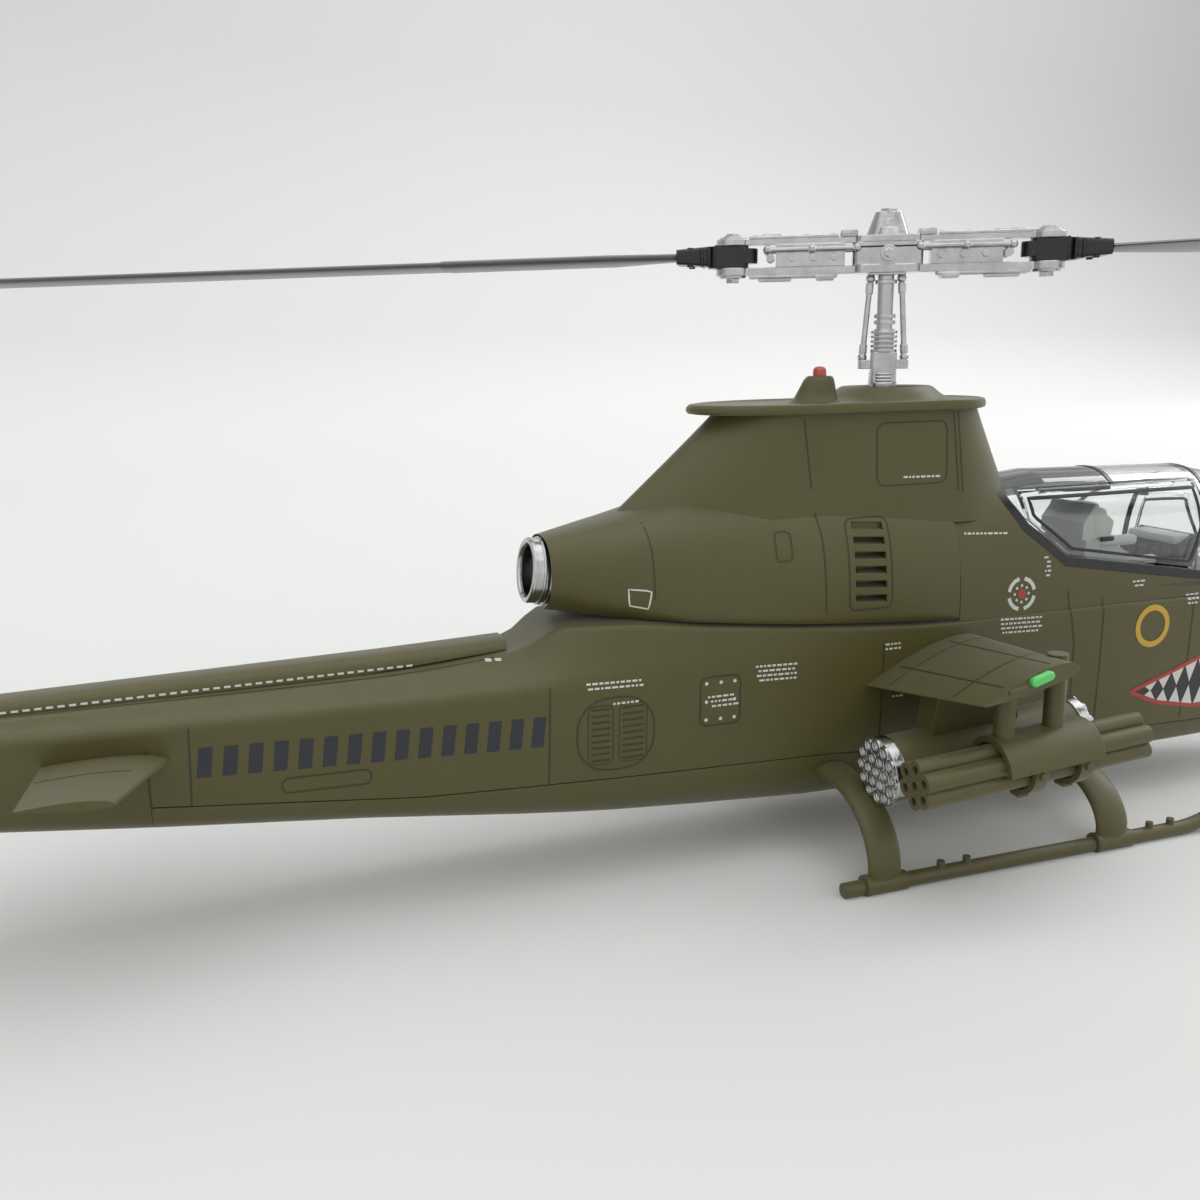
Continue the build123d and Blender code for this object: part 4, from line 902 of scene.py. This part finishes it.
sideViews = ("starboard", "port")
panelLines = {
    "width": 0.24, "wingWidth": 0.2, "slotWidth": 0.3, "slotCount": 9, "frameWidth": 0.16,
    "open": [
        [(-95.9, 24.6), (-96.0, 17.8)], [(-91.4, 26.6), (-91.8, 17.4)], [(-50.5, 27.6), (-50.8, 14.4)],
        [(25.2, 32.6), (25.4, 31.0), (26.6, 25.0), (26.8, 11.6)], [(31.4, 31.0), (31.5, 11.4)],
        [(-4.6, 28.0), (-4.6, 12.9)], [(-37.0, 45.6), (-36.7, 42.5), (-36.6, 36.4)],
        [(-14.1, 45.7), (-13.7, 42.7), (-13.5, 32.9)], [(-15.6, 57.6), (-14.6, 48.8)],
        [(6.7, 57.9), (7.6, 47.4)], [(7.4, 57.9), (8.3, 47.2)], [(-128.0, 26.9), (-127.6, 18.6)],
        [(-96.0, 17.55), (-66, 14.9), (-13, 13.5), (30, 11.1), (56.8, 10.25)],
        [(-138.0, 26.8), (-138.0, 20.5)], [(56.8, 29.0), (57.2, 12.6)], [(48.0, 11.4), (48.2, 30.5)],
    ],
    "closed": [
        roundedBox(-31.0, 19.8, -25.5, 26.2, 0.8), roundedBox(-47.2, 15.6, -37.2, 25.0, 3.9),
        roundedBox(-20.4, 40.1, -18.2, 43.7, 0.3), roundedBox(-10.1, 33.0, -3.7, 44.7, 0.9),
        roundedBox(-5.0, 48.6, 5.7, 56.7, 1.2), roundedBox(-82.0, 17.6, -72.0, 19.4, 0.6),
    ],
    "wings": [[(8.2, 14.0), (-6.2, 14.0)], [(7.4, 26.4), (-5.8, 26.4)], [(4.4, 11.5), (3.6, 31.6)],
              [(-2.8, 11.5), (-2.6, 31.6)], [(-97.2, 13.0), (-106.4, 13.0)]],
    "fin": [[(-152.0, 38.0), (-171.0, 38.0)], [(-163.0, 50.0), (-176.5, 50.0)], [(-168.5, 26.0), (-184.0, 66.0)]],
    "deck": [(-140, 2.48), (-100, 3.4), (-56, 4.4)],
    "grilles": [(-45.4, -43.0, 17.0, 23.6), (-41.4, -38.6, 17.0, 23.6)],
}


def buildPanelLines():
    bm = bmesh.new()
    wide, slots = panelLines["width"], panelLines["slotCount"]
    for view in sideViews:
        for line in panelLines["open"]:
            addStroke(bm, line, wide, view)
        for line in panelLines["closed"]:
            addStroke(bm, line, wide, view, loop=True)
        for x0, x1, z0, z1 in panelLines["grilles"]:
            for k in range(slots):
                z = z0 + (z1 - z0) * k / (slots - 1)
                addStroke(bm, [(x0, z), (x1, z)], panelLines["slotWidth"], view)
            border = roundedBox(x0 - 0.4, z0 - 0.5, x1 + 0.4, z1 + 0.5, 0.6)
            addStroke(bm, border, panelLines["frameWidth"], view, loop=True)
    for side, view in ((-1, "starboard"), (1, "port")):
        addStroke(bm, [(x, side * y) for x, y in panelLines["deck"]], wide, "top")
        for line in panelLines["wings"]:
            addStroke(bm, [(x, side * y) for x, y in line], panelLines["wingWidth"], "top", on="wings")
        for line in panelLines["fin"]:
            addStroke(bm, line, panelLines["wingWidth"], view, on="fin")
    return finished("panelLines", bm, "panelShade", "airframe")


stencils = {
    "thick": 0.26, "gap": 0.62, "lift": 0.045, "seed": 11,
    # first x, first z, length, rows, slope of the rows
    "blocks": [
        (-46.0, 27.0, 7.5, 2, -0.02), (-23.4, 26.9, 6.0, 4, -0.03), (-4.4, 27.9, 3.0, 2, 0.0),
        (8.4, 41.6, 7.6, 1, -0.05), (13.8, 29.6, 6.8, 4, -0.03), (-1.0, 49.6, 5.2, 1, -0.02),
        (-42.6, 24.2, 3.6, 1, 0.0), (-30.0, 23.6, 3.6, 3, 0.0), (36.6, 33.0, 2.2, 2, 0.0), (46.8, 30.2, 2.4, 3, 0.0),
        (21.0, 37.6, 1.0, 5, 0.0), (-118.0, 22.2, 4.4, 2, 0.0), (62.0, 24.0, 3.6, 2, 0.0), (-3.0, 20.6, 1.8, 1, 0.0),
    ],
    "filler": (20.3, 36.5), "label": [(-39.8, 37.9), (-37.0, 37.6), (-37.3, 35.3), (-39.6, 35.8)],
    "target": (17.2, 32.9), "targetRadius": 2.15, "targetArcs": 4, "targetDots": 8, "targetDotRadius": 1.15,
    "walkwayRear": (-110.5, 29.02), "walkwayPitch": 1.16, "walkwayCount": 48, "walkwaySlope": 0.9 / 55.8,
    "rivets": [(-30.2, 25.4), (-26.3, 25.4), (-30.2, 20.6), (-26.3, 20.6), (-30.2, 23.0), (-26.3, 23.0),
               (-28.2, 25.4), (-28.2, 20.6)],
}


# rows of plain dashes, with no letters in them, where a real one carries its notices
def buildStencils():
    bm = bmesh.new()
    draw = random.Random(stencils["seed"])
    lift = stencils["lift"]
    targetX, targetZ = stencils["target"]
    startX, startZ = stencils["walkwayRear"]
    for view in sideViews:
        for x, z, length, rows, slope in stencils["blocks"]:
            for row in range(rows):
                at = x + (draw.uniform(0, 0.6) if row else 0)
                end = x + length - draw.uniform(0, 0.2) * length
                while at < end:
                    dash = draw.uniform(0.28, 0.75)
                    low = z - stencils["gap"] * row + slope * (at - x)
                    addStroke(bm, [(at, low), (at + dash, low + slope * dash)], stencils["thick"], view, lift)
                    at += dash + 0.2
        addStroke(bm, ring(*stencils["filler"], 0.31), 0.62, view, lift, loop=True)
        for x, z in stencils["rivets"]:
            addStroke(bm, ring(x, z, 0.13, 8), 0.24, view, lift, loop=True, pitch=0.1)
        addStroke(bm, stencils["label"], 0.2, view, lift, loop=True)
        quarter = 360 // stencils["targetArcs"]
        for first in range(12, 360, quarter):
            turns = [math.radians(a) for a in range(first, first + quarter - 23, 6)]
            arc = [(targetX + stencils["targetRadius"] * math.cos(a), targetZ + stencils["targetRadius"] * math.sin(a))
                   for a in turns]
            addStroke(bm, arc, 0.55, view, lift)
        for x, z in ring(targetX, targetZ, stencils["targetDotRadius"], stencils["targetDots"]):
            addStroke(bm, ring(x, z, 0.12, 6), 0.2, view, lift, loop=True, pitch=0.1)
        for k in range(stencils["walkwayCount"]):
            along = stencils["walkwayPitch"] * k
            x, z = startX + along, startZ + stencils["walkwaySlope"] * along
            addStroke(bm, [(x, z), (x + 0.72, z)], 0.24, view, lift)
    return finished("stencilDashes", bm, "markWhite", "airframe")


hashBars = {
    "count": 15, "width": 1.5, "lean": 0.45, "lift": 0.04,
    # at the first bar and at the last one
    "x": (-91.0, -53.0), "low": (20.7, 19.7), "high": (24.2, 23.5),
}


# a band of slanted dark bars along the boom, in place of any lettering
def buildHashBars():
    bm = bmesh.new()
    wide = hashBars["width"]
    for view in sideViews:
        for k in range(hashBars["count"]):
            share = k / (hashBars["count"] - 1)
            x, low, high = (a + (b - a) * share for a, b in (hashBars[name] for name in ("x", "low", "high")))
            foot = [Vector((x + wide * i / 2, low)) for i in range(3)]
            head = [Vector((x + hashBars["lean"] + wide * i / 2, high)) for i in range(3)]
            addPatch(bm, foot, head, view, hashBars["lift"], 5)
    return finished("hashBars", bm, "markNavy", "airframe")


yellowRing = {"place": (40.6, 26.2), "radius": 2.75, "width": 0.85, "lift": 0.045}


def buildYellowRing():
    bm = bmesh.new()
    circle = ring(*yellowRing["place"], yellowRing["radius"])
    for view in sideViews:
        addStroke(bm, circle, yellowRing["width"], view, yellowRing["lift"], loop=True)
    return finished("yellowRings", bm, "markYellow", "airframe")


# nose marking of our own: a plain wedge with a red edge and an even zigzag
wedge = {
    "upper": [(37.6, 16.5), (44, 18.4), (52, 20.9), (62, 21.6), (68.5, 20.4)],
    "lower": [(37.6, 16.5), (43, 14.3), (50, 12.9), (60, 13.0), (68.5, 14.6)],
    "edge": 0.62, "teeth": 11, "firstTooth": 40.4, "toothPitch": 2.5, "toothWidth": 2.2, "toothMost": 2.9,
    "inset": 0.3, "steps": 44,
    # finish and slot of each piece
    "pieces": {"wedgeFill": ("markBlack", "black_plastic"), "wedgeEdge": ("markRed", "red_lens"),
               "wedgeZigzag": ("markWhite", "seat_grey")},
}


def buildWedge():
    upper, lower = lineThrough(wedge["upper"]), lineThrough(wedge["lower"])
    meshes = {name: bmesh.new() for name in wedge["pieces"]}
    rear, front = wedge["upper"][0][0], wedge["upper"][-1][0]
    xs = [*stepped(rear, front, wedge["steps"]), front]
    wide, inset = wedge["toothWidth"], wedge["inset"]
    for view in sideViews:
        low, high = [Vector((x, lower(x))) for x in xs], [Vector((x, upper(x))) for x in xs]
        addPatch(meshes["wedgeFill"], low, high, view, 0.035, 8)
        outline = wedge["upper"] + wedge["lower"][::-1][:-1]
        addStroke(meshes["wedgeEdge"], outline, wedge["edge"], view, 0.06, loop=True)
        for k in range(wedge["teeth"]):
            across = [wedge["firstTooth"] + k * wedge["toothPitch"] + wide * i / 2 for i in range(3)]
            middle = across[1]
            tall = min(0.42 * (upper(middle) - lower(middle)), wedge["toothMost"])
            for edge, inward in ((upper, -1), (lower, 1)):
                tip = Vector((middle, edge(middle) + inward * (tall + inset)))
                foot = [Vector((x, edge(x) + inward * inset)) for x in across]
                head = [foot[0].lerp(tip, 0.96), tip, foot[2].lerp(tip, 0.96)]
                addPatch(meshes["wedgeZigzag"], foot, head, view, 0.05, 3)
    for name, (finish, slot) in wedge["pieces"].items():
        finished(name, meshes[name], finish, "airframe")


# the red middle of the ring of dots on each side
def buildFillerDots():
    bm = bmesh.new()
    for view in sideViews:
        addStroke(bm, ring(*stencils["target"], 0.35, 20), 0.7, view, 0.05, loop=True, pitch=0.2)
    return finished("fillerDots", bm, "markRed", "airframe")


buildPanelLines()
buildStencils()
buildHashBars()
buildYellowRing()
buildWedge()
buildFillerDots()
print("panel lines and markings done")

# rotor head fittings, drawn along the blades and then turned with the head
headShape = {
    "turn": -28.0, "bossRadius": 0.55, "ribWidth": 0.34, "rodRadius": 0.3, "ballRadius": 0.56, "pinX": 20.2,
    "eyeRadius": 1.75, "nutRadius": 0.95, "bosses": (6.8, 9.6, 12.4, 15.2), "armBolts": (7.0, 10.4, 13.8, 17.0),
    "collars": (69.2, 70.0, 74.4), "bootBottom": 60.2, "bootPitch": 0.42, "bootRings": 7, "seamZ": 79.06,
    # along the arm, height, size, edge softening
    "pads": [(5.0, 80.9, (2.2, 3.0, 1.0), 0.25), (15.0, 80.8, (2.6, 1.9, 0.7), 0.2),
             (14.6, 75.3, (4.4, 1.6, 0.7), 0.2), (8.0, 75.35, (2.4, 2.6, 0.8), 0.2)],
}


def addRod(bm, start, end, radius, segments=16, endRadius=None):
    start, end = Vector(start), Vector(end)
    last = radius if endRadius is None else endRadius
    made = bmesh.ops.create_cone(bm, cap_ends=True, segments=segments, radius1=radius, radius2=last,
                                 depth=(end - start).length)["verts"]
    turn = (end - start).to_track_quat("Z", "Y").to_matrix().to_4x4()
    bmesh.ops.transform(bm, matrix=Matrix.Translation((start + end) / 2) @ turn, verts=made)
    return made


def addBlock(bm, middle, size, soft=0.12):
    made = bmesh.ops.create_cube(bm, size=1)["verts"]
    bmesh.ops.scale(bm, vec=size, verts=made)
    bmesh.ops.translate(bm, vec=middle, verts=made)
    edges = list({e for v in made for e in v.link_edges})
    bmesh.ops.bevel(bm, geom=edges, offset=soft, segments=2, profile=0.5, affect="EDGES", material=-1)


def addBall(bm, middle, radius):
    made = bmesh.ops.create_uvsphere(bm, u_segments=16, v_segments=10, radius=radius)["verts"]
    bmesh.ops.translate(bm, vec=middle, verts=made)


# a torus: a small circle spun about the axis
def addRing(bm, middle, radius, thick, axis=(0, 0, 1), segments=36):
    made = bmesh.ops.create_circle(bm, segments=12, radius=thick)["verts"]
    bmesh.ops.rotate(bm, verts=made, cent=(0, 0, 0), matrix=Matrix.Rotation(math.pi / 2, 3, "X"))
    bmesh.ops.translate(bm, vec=(radius, 0, 0), verts=made)
    edges = list({e for v in made for e in v.link_edges})
    before = set(bm.verts) - set(made)
    bmesh.ops.spin(bm, geom=made + edges, cent=(0, 0, 0), axis=(0, 0, 1), angle=2 * math.pi, steps=segments)
    fresh = [v for v in bm.verts if v not in before]
    turn = Vector(axis).to_track_quat("Z", "Y").to_matrix().to_4x4()
    bmesh.ops.transform(bm, matrix=Matrix.Translation(middle) @ turn, verts=fresh)


def addPost(bm, x, y, low, high, radius, segments=16):
    addRod(bm, (x, y, low), (x, y, high), radius, segments)


def onHead(name, bm, finish):
    turnUpright(bm, headShape["turn"])
    return finished(name, bm, finish, "main_rotor", 30)


def buildHeadFittings():
    bm = bmesh.new()
    for end in (-1, 1):
        # clevis eyes with their nuts, top and bottom
        pinX, eye, nut = headShape["pinX"] * end, headShape["eyeRadius"], headShape["nutRadius"]
        for low, high, radius, segments in ((75.5, 75.9, eye, 24), (80.4, 80.75, eye, 24), (80.7, 81.25, nut, 6),
                                            (74.9, 75.5, nut, 6)):
            addPost(bm, pinX, 0, low, high, radius, segments)
        # rails along both edges of the arms
        for side in (-1, 1):
            for z in (75.62, 80.62):
                addBlock(bm, (12.2 * end, 1.12 * side, z), (11.6, headShape["ribWidth"], 0.42), 0.08)
            for x in headShape["bosses"]:
                addRod(bm, (x * end, 1.2 * side, 78.0), (x * end, 1.72 * side, 78.0), headShape["bossRadius"], 12)
            addRod(bm, (4.0 * end, 2.15 * side, 79.0), (15.6 * end, 1.75 * side, 79.0), headShape["rodRadius"])
            for x, y in ((4.0, 2.15), (9.8, 1.95), (15.6, 1.75)):
                addBall(bm, (x * end, y * side, 79.0), headShape["ballRadius"])
        for x in headShape["armBolts"]:
            addPost(bm, x * end, 0, 80.4, 81.0, 0.5, 6)
            addBlock(bm, (x * end + 1.2, 0, 80.62), (0.34, 2.1, 0.36), 0.06)
        for x, z, size, soft in headShape["pads"]:
            addBlock(bm, (x * end, 0, z), size, soft)
        # ball joints of the pitch links
        addBall(bm, (2.75 * end, 0, 64.9), 0.62)
        addBall(bm, (2.02 * end, 0, 75.1), 0.62)
        addRod(bm, (2.72 * end, 0, 65.4), (2.62 * end, 0, 66.6), 0.52, 6)
        addRod(bm, (2.14 * end, 0, 73.2), (2.06 * end, 0, 74.5), 0.52, 6)
    # trunnion cap over the mast
    addRod(bm, (0, 0, 80.4), (0, 0, 81.5), 2.3, 24, 1.9)
    addRod(bm, (0, 0, 81.4), (0, 0, 82.6), 1.55, 24, 1.35)
    addPost(bm, 0, 0, 82.5, 83.9, 1.15, 6)
    for side in (-1, 1):
        addRod(bm, (0, 1.6 * side, 78.2), (0, 2.7 * side, 78.2), 1.05, 20)
        addRod(bm, (0, 2.6 * side, 78.2), (0, 3.0 * side, 78.2), 0.6, 6)
    # splined collars on the mast
    for z in headShape["collars"]:
        addPost(bm, 0, 0, z, z + 0.5, 1.42, 20)
    for k in range(headShape["bootRings"]):
        addRing(bm, (0, 0, headShape["bootBottom"] + headShape["bootPitch"] * k), 1.62, 0.24)
    return onHead("headFittings", bm, "silverPaint")


# black sleeves with raised bands over the blade roots
def buildBladeGrips():
    bm = bmesh.new()
    for end in (-1, 1):
        for k, (x, half, tall) in enumerate(((22.4, 1.62, 1.5), (23.3, 1.85, 1.36), (24.2, 2.1, 1.22))):
            addBlock(bm, (x * end, 0, 78.3 - 0.03 * k), (0.4, 2 * half + 0.3, 2 * tall), 0.12)
        for side in (-1, 1):
            addPost(bm, 25.8 * end, side * 1.7, 77.0, 79.5, 0.42, 12)
        addPost(bm, 18.4 * end, 0, 77.4, 79.3, 1.5, 24)
    return onHead("bladeGrips", bm, "blackPlastic")


# dark joint line between the two halves of the yoke
def buildHeadSeam():
    bm = bmesh.new()
    for x, size in ((-10.0, (9.2, 2.74, 0.2)), (10.0, (9.2, 2.74, 0.2)), (0, (9.12, 4.52, 0.2))):
        addBlock(bm, (x, 0, headShape["seamZ"]), size, 0.04)
    return onHead("headSeam", bm, "blackPlastic")


buildHeadFittings()
buildBladeGrips()
buildHeadSeam()
print("rotor head done")

# pods: raised tube ends, so that the rear bezel has a scalloped rim
podShape = {
    "pitch19": 4.2, "rear19": (-11.3, 20.0, 14.7), "tubeOuter": 0.94, "tubeInner": 0.62, "proud": 0.42,
    "faces": (0.1, 29.3), "innerRing": 1.72, "outerRing": 3.4,
    "pitch7": 3.7, "rear7": (-12.0, 28.6, 16.1), "straps": (15.1, 21.7),
}


def podAxis(degrees):
    slope = math.radians(degrees)
    return Vector((math.cos(slope), 0, math.sin(slope))), Vector((-math.sin(slope), 0, math.cos(slope)))


# a short open tube with a flat lip
def addTubeEnd(bm, place, along, depth, outer, inner):
    made = bmesh.ops.create_cone(bm, cap_ends=True, segments=20, radius1=outer, radius2=outer, depth=depth)["verts"]
    caps = sorted({f for v in made for f in v.link_faces if len(f.verts) > 4}, key=lambda f: f.calc_center_median().z)
    turn = Vector(along).to_track_quat("Z", "Y").to_matrix().to_4x4()
    for cap, down in ((caps[-1], -1), (caps[0], 1)):
        rim = bmesh.ops.inset_region(bm, faces=[cap], thickness=outer - inner, use_even_offset=True)["faces"]
        made += [v for f in rim for v in f.verts]
        sunk = vertsIn(bmesh.ops.extrude_face_region(bm, geom=[cap])["geom"])
        bmesh.ops.translate(bm, vec=(0, 0, down * 0.45 * depth), verts=sunk)
        made += sunk
        bmesh.ops.delete(bm, geom=[cap], context="FACES_ONLY")
    fresh = list({v for v in made if v.is_valid})
    bmesh.ops.transform(bm, matrix=Matrix.Translation(place) @ turn, verts=fresh)


def buildTubeEnds():
    bm = bmesh.new()
    ahead, up = podAxis(podShape["pitch19"])
    x, y, z = podShape["rear19"]
    centres = [(0, 0)] + ring(0, 0, podShape["innerRing"], 6) + ring(0, 0, podShape["outerRing"], 12)
    for side in (-1, 1):
        rear = Vector((x, side * y, z))
        for a, b in centres:
            for shift in podShape["faces"]:
                spot = rear + ahead * shift + Vector((0, a, 0)) + up * b
                addTubeEnd(bm, spot, ahead, 2 * podShape["proud"], podShape["tubeOuter"], podShape["tubeInner"])
    return finished("podTubeEnds", bm, "silverPaint", "airframe", 30)


# the skid tubes and where their cuffs stand along them
skidShape = {"cuffs": (-11.6, 23.7), "tubeY": 22.7, "tubeZ": 0.98}


# olive fittings: strap bolts, cuffs on the skid tubes and rounded wing roots
def buildSmallFittings():
    bm = bmesh.new()
    ahead, _ = podAxis(podShape["pitch7"])
    rearX, rearY, rearZ = podShape["rear7"]
    tubeZ = skidShape["tubeZ"]
    for side in (-1, 1):
        rear = Vector((rearX, side * rearY, rearZ))
        for along in podShape["straps"]:
            spot = rear + ahead * along
            addBlock(bm, spot + Vector((0, 0, -3.9)), (1.5, 1.8, 0.8), 0.15)
            for tilt in (-1, 1):
                addRod(bm, spot + Vector((0, tilt * 3.4, -0.6)), spot + Vector((0, tilt * 4.3, -0.6)), 0.5, 6)
        tubeY = side * skidShape["tubeY"]
        for x in skidShape["cuffs"]:
            addRod(bm, (x - 3.0, tubeY, tubeZ), (x + 3.0, tubeY, tubeZ), 1.25, 20)
            addRod(bm, (x - 2.2, tubeY, tubeZ + 0.12), (x - 2.9, tubeY, tubeZ + 0.12), 1.35, 20)
        addRod(bm, (3.4, side * 32.7, 28.6), (-2.8, side * 32.7, 27.6), 0.55, 16, 0.3)
    for vert in bm.verts:
        vert.co.z = max(vert.co.z, 0.02)
    return finished("smallFittings", bm, "olivePaint", "airframe", 30)


exhaustShape = {
    "place": (-48.6, 0, 39.5), "tilt": 6.0,
    # how far back, radius, thickness
    "rings": [(1.62, 3.72, 0.42), (0.5, 4.1, 0.2), (-0.4, 4.12, 0.2)],
}


def buildExhaust():
    bm = bmesh.new()
    tilt = math.radians(exhaustShape["tilt"])
    back = Vector((-math.cos(tilt), 0, math.sin(tilt)))
    middle = Vector(exhaustShape["place"])
    for shift, radius, thick in exhaustShape["rings"]:
        addRing(bm, middle + back * shift, radius, thick, back, 48)
    return finished("exhaustLips", bm, "silverPaint", "airframe", 30)


buildTubeEnds()
buildSmallFittings()
buildExhaust()
print("pods, skids and exhaust done")

# canopy frames laid on the glass, each moving with the pane it belongs to
framing = {
    "thick": 0.22, "doorWidth": 0.42, "lift": 0.1, "railY": 5.3,
    # x of each hoop over the roof and how far it reaches to each side
    "hoops": [(15.6, 5.4), (35.4, 5.2), (51.9, 5.2), (62.4, 3.2)],
    # width and line of each bar on the sides
    "sideBars": [(0.9, [(51.9, 46.2), (51.9, 33.2)]), (0.8, [(68.0, 38.0), (69.6, 30.6)])],
    # side it is on, body it swings with, outline, latch
    "doors": {
        "pilotDoor": ("starboard", "pilot_door", [(20.1, 45.5), (20.1, 43.2), (25.8, 38.5), (47.1, 35.1), (49.6, 40.1),
                                                  (49.6, 45.5)], (31.8, 39.4)),
        "gunnerDoor": ("port", "gunner_door", [(54.2, 34.2), (66.9, 32.5), (65.5, 35.2), (61.2, 41.8), (54.2, 41.8)],
                       (60.9, 34.7)),
    },
}


# turns thin laid strips into bars
def raised(bm):
    bmesh.ops.recalc_face_normals(bm, faces=bm.faces[:])
    bmesh.ops.solidify(bm, geom=bm.faces[:], thickness=framing["thick"])


def buildCanopyFraming():
    bm = bmesh.new()
    lift = framing["lift"]
    for y in (-framing["railY"], framing["railY"]):
        addStroke(bm, [(15.2, y), (40, y), (56, 0.86 * y)], 0.8, "top", lift, on="canopy")
    for x, reach in framing["hoops"]:
        addStroke(bm, [(x, -reach), (x, reach)], 0.8, "top", lift, on="canopy")
    for view in sideViews:
        for width, line in framing["sideBars"]:
            addStroke(bm, line, width, view, lift, on="canopy")
    raised(bm)
    finished("canopyBars", bm, "blackPlastic", "airframe")
    for name, (view, body, outline, latch) in framing["doors"].items():
        bm = bmesh.new()
        addStroke(bm, outline, framing["doorWidth"], view, 0.08, loop=True, on="canopy")
        raised(bm)
        finished(f"{name}Bars", bm, "blackPlastic", body)
        bm = bmesh.new()
        addBlock(bm, laid(latch, view, 0.3, "canopy"), (2.2, 0.5, 0.7), 0.15)
        finished(f"{name}Latch", bm, "blackPlastic", body)


cockpit = {
    # middle, size and edge softening of each cushion and armour pad: on the centreline, then in pairs
    "pads": [((39.0, 0, 29.6), (9.0, 7.2, 1.6), 0.5), ((36.2, 0, 34.8), (1.6, 6.6, 8.6), 0.5),
             ((35.4, 0, 42.0), (2.6, 4.4, 3.0), 0.8), ((58.0, 0, 24.2), (6.0, 5.8, 1.3), 0.4),
             ((56.4, 0, 28.4), (1.3, 5.4, 7.0), 0.4), ((55.6, 0, 33.6), (2.0, 3.4, 2.2), 0.6),
             ((50.6, 0, 37.4), (4.6, 9.2, 1.4), 0.5)],
    "sidePads": [((37.4, 4.75, 38.2), (6.6, 1.5, 1.5), 0.5), ((34.6, 3.6, 41.0), (2.4, 2.0, 4.0), 0.7),
                 ((42.0, 4.7, 35.0), (5.6, 1.3, 1.3), 0.45)],
    "sightArm": [(36.0, 1.8, 43.2), (39.5, 1.8, 45.6), (43.5, 1.6, 46.4), (47.6, 1.2, 45.2)], "armRadius": 0.3,
    "sticks": [(44.8, 29.0), (63.0, 23.4)], "dials": (-3.4, -1.2, 1.2, 3.4), "dialRadius": 0.8,
}


# padding, headrests and side armour over the plain seat solids, and the crew's controls
def buildSeats():
    bm = bmesh.new()
    for middle, size, soft in cockpit["pads"]:
        addBlock(bm, middle, size, soft)
    for (x, y, z), size, soft in cockpit["sidePads"]:
        for side in (-1, 1):
            addBlock(bm, (x, side * y, z), size, soft)
    finished("seatPadding", bm, "seatGrey", "airframe")
    bm = bmesh.new()
    path = bezier(cockpit["sightArm"], 9)
    for a, b in zip(path, path[1:]):
        addRod(bm, a, b, cockpit["armRadius"], 10)
        addBall(bm, b, cockpit["armRadius"])
    addPost(bm, 47.6, 1.2, 43.6, 45.2, 0.7, 12)
    for x, z in cockpit["sticks"]:
        addRod(bm, (x, 0, z), (x - 0.8, 0, z + 5.0), 0.35, 10)
        addBlock(bm, (x - 0.9, 0, z + 5.6), (0.9, 1.0, 1.8), 0.3)
    for y in cockpit["dials"]:
        addRod(bm, (48.3, y, 35.2), (48.8, y, 35.2), cockpit["dialRadius"], 20)
    finished("cockpitControls", bm, "darkMetal", "airframe")


buildCanopyFraming()
buildSeats()
print("canopy and cockpit done")
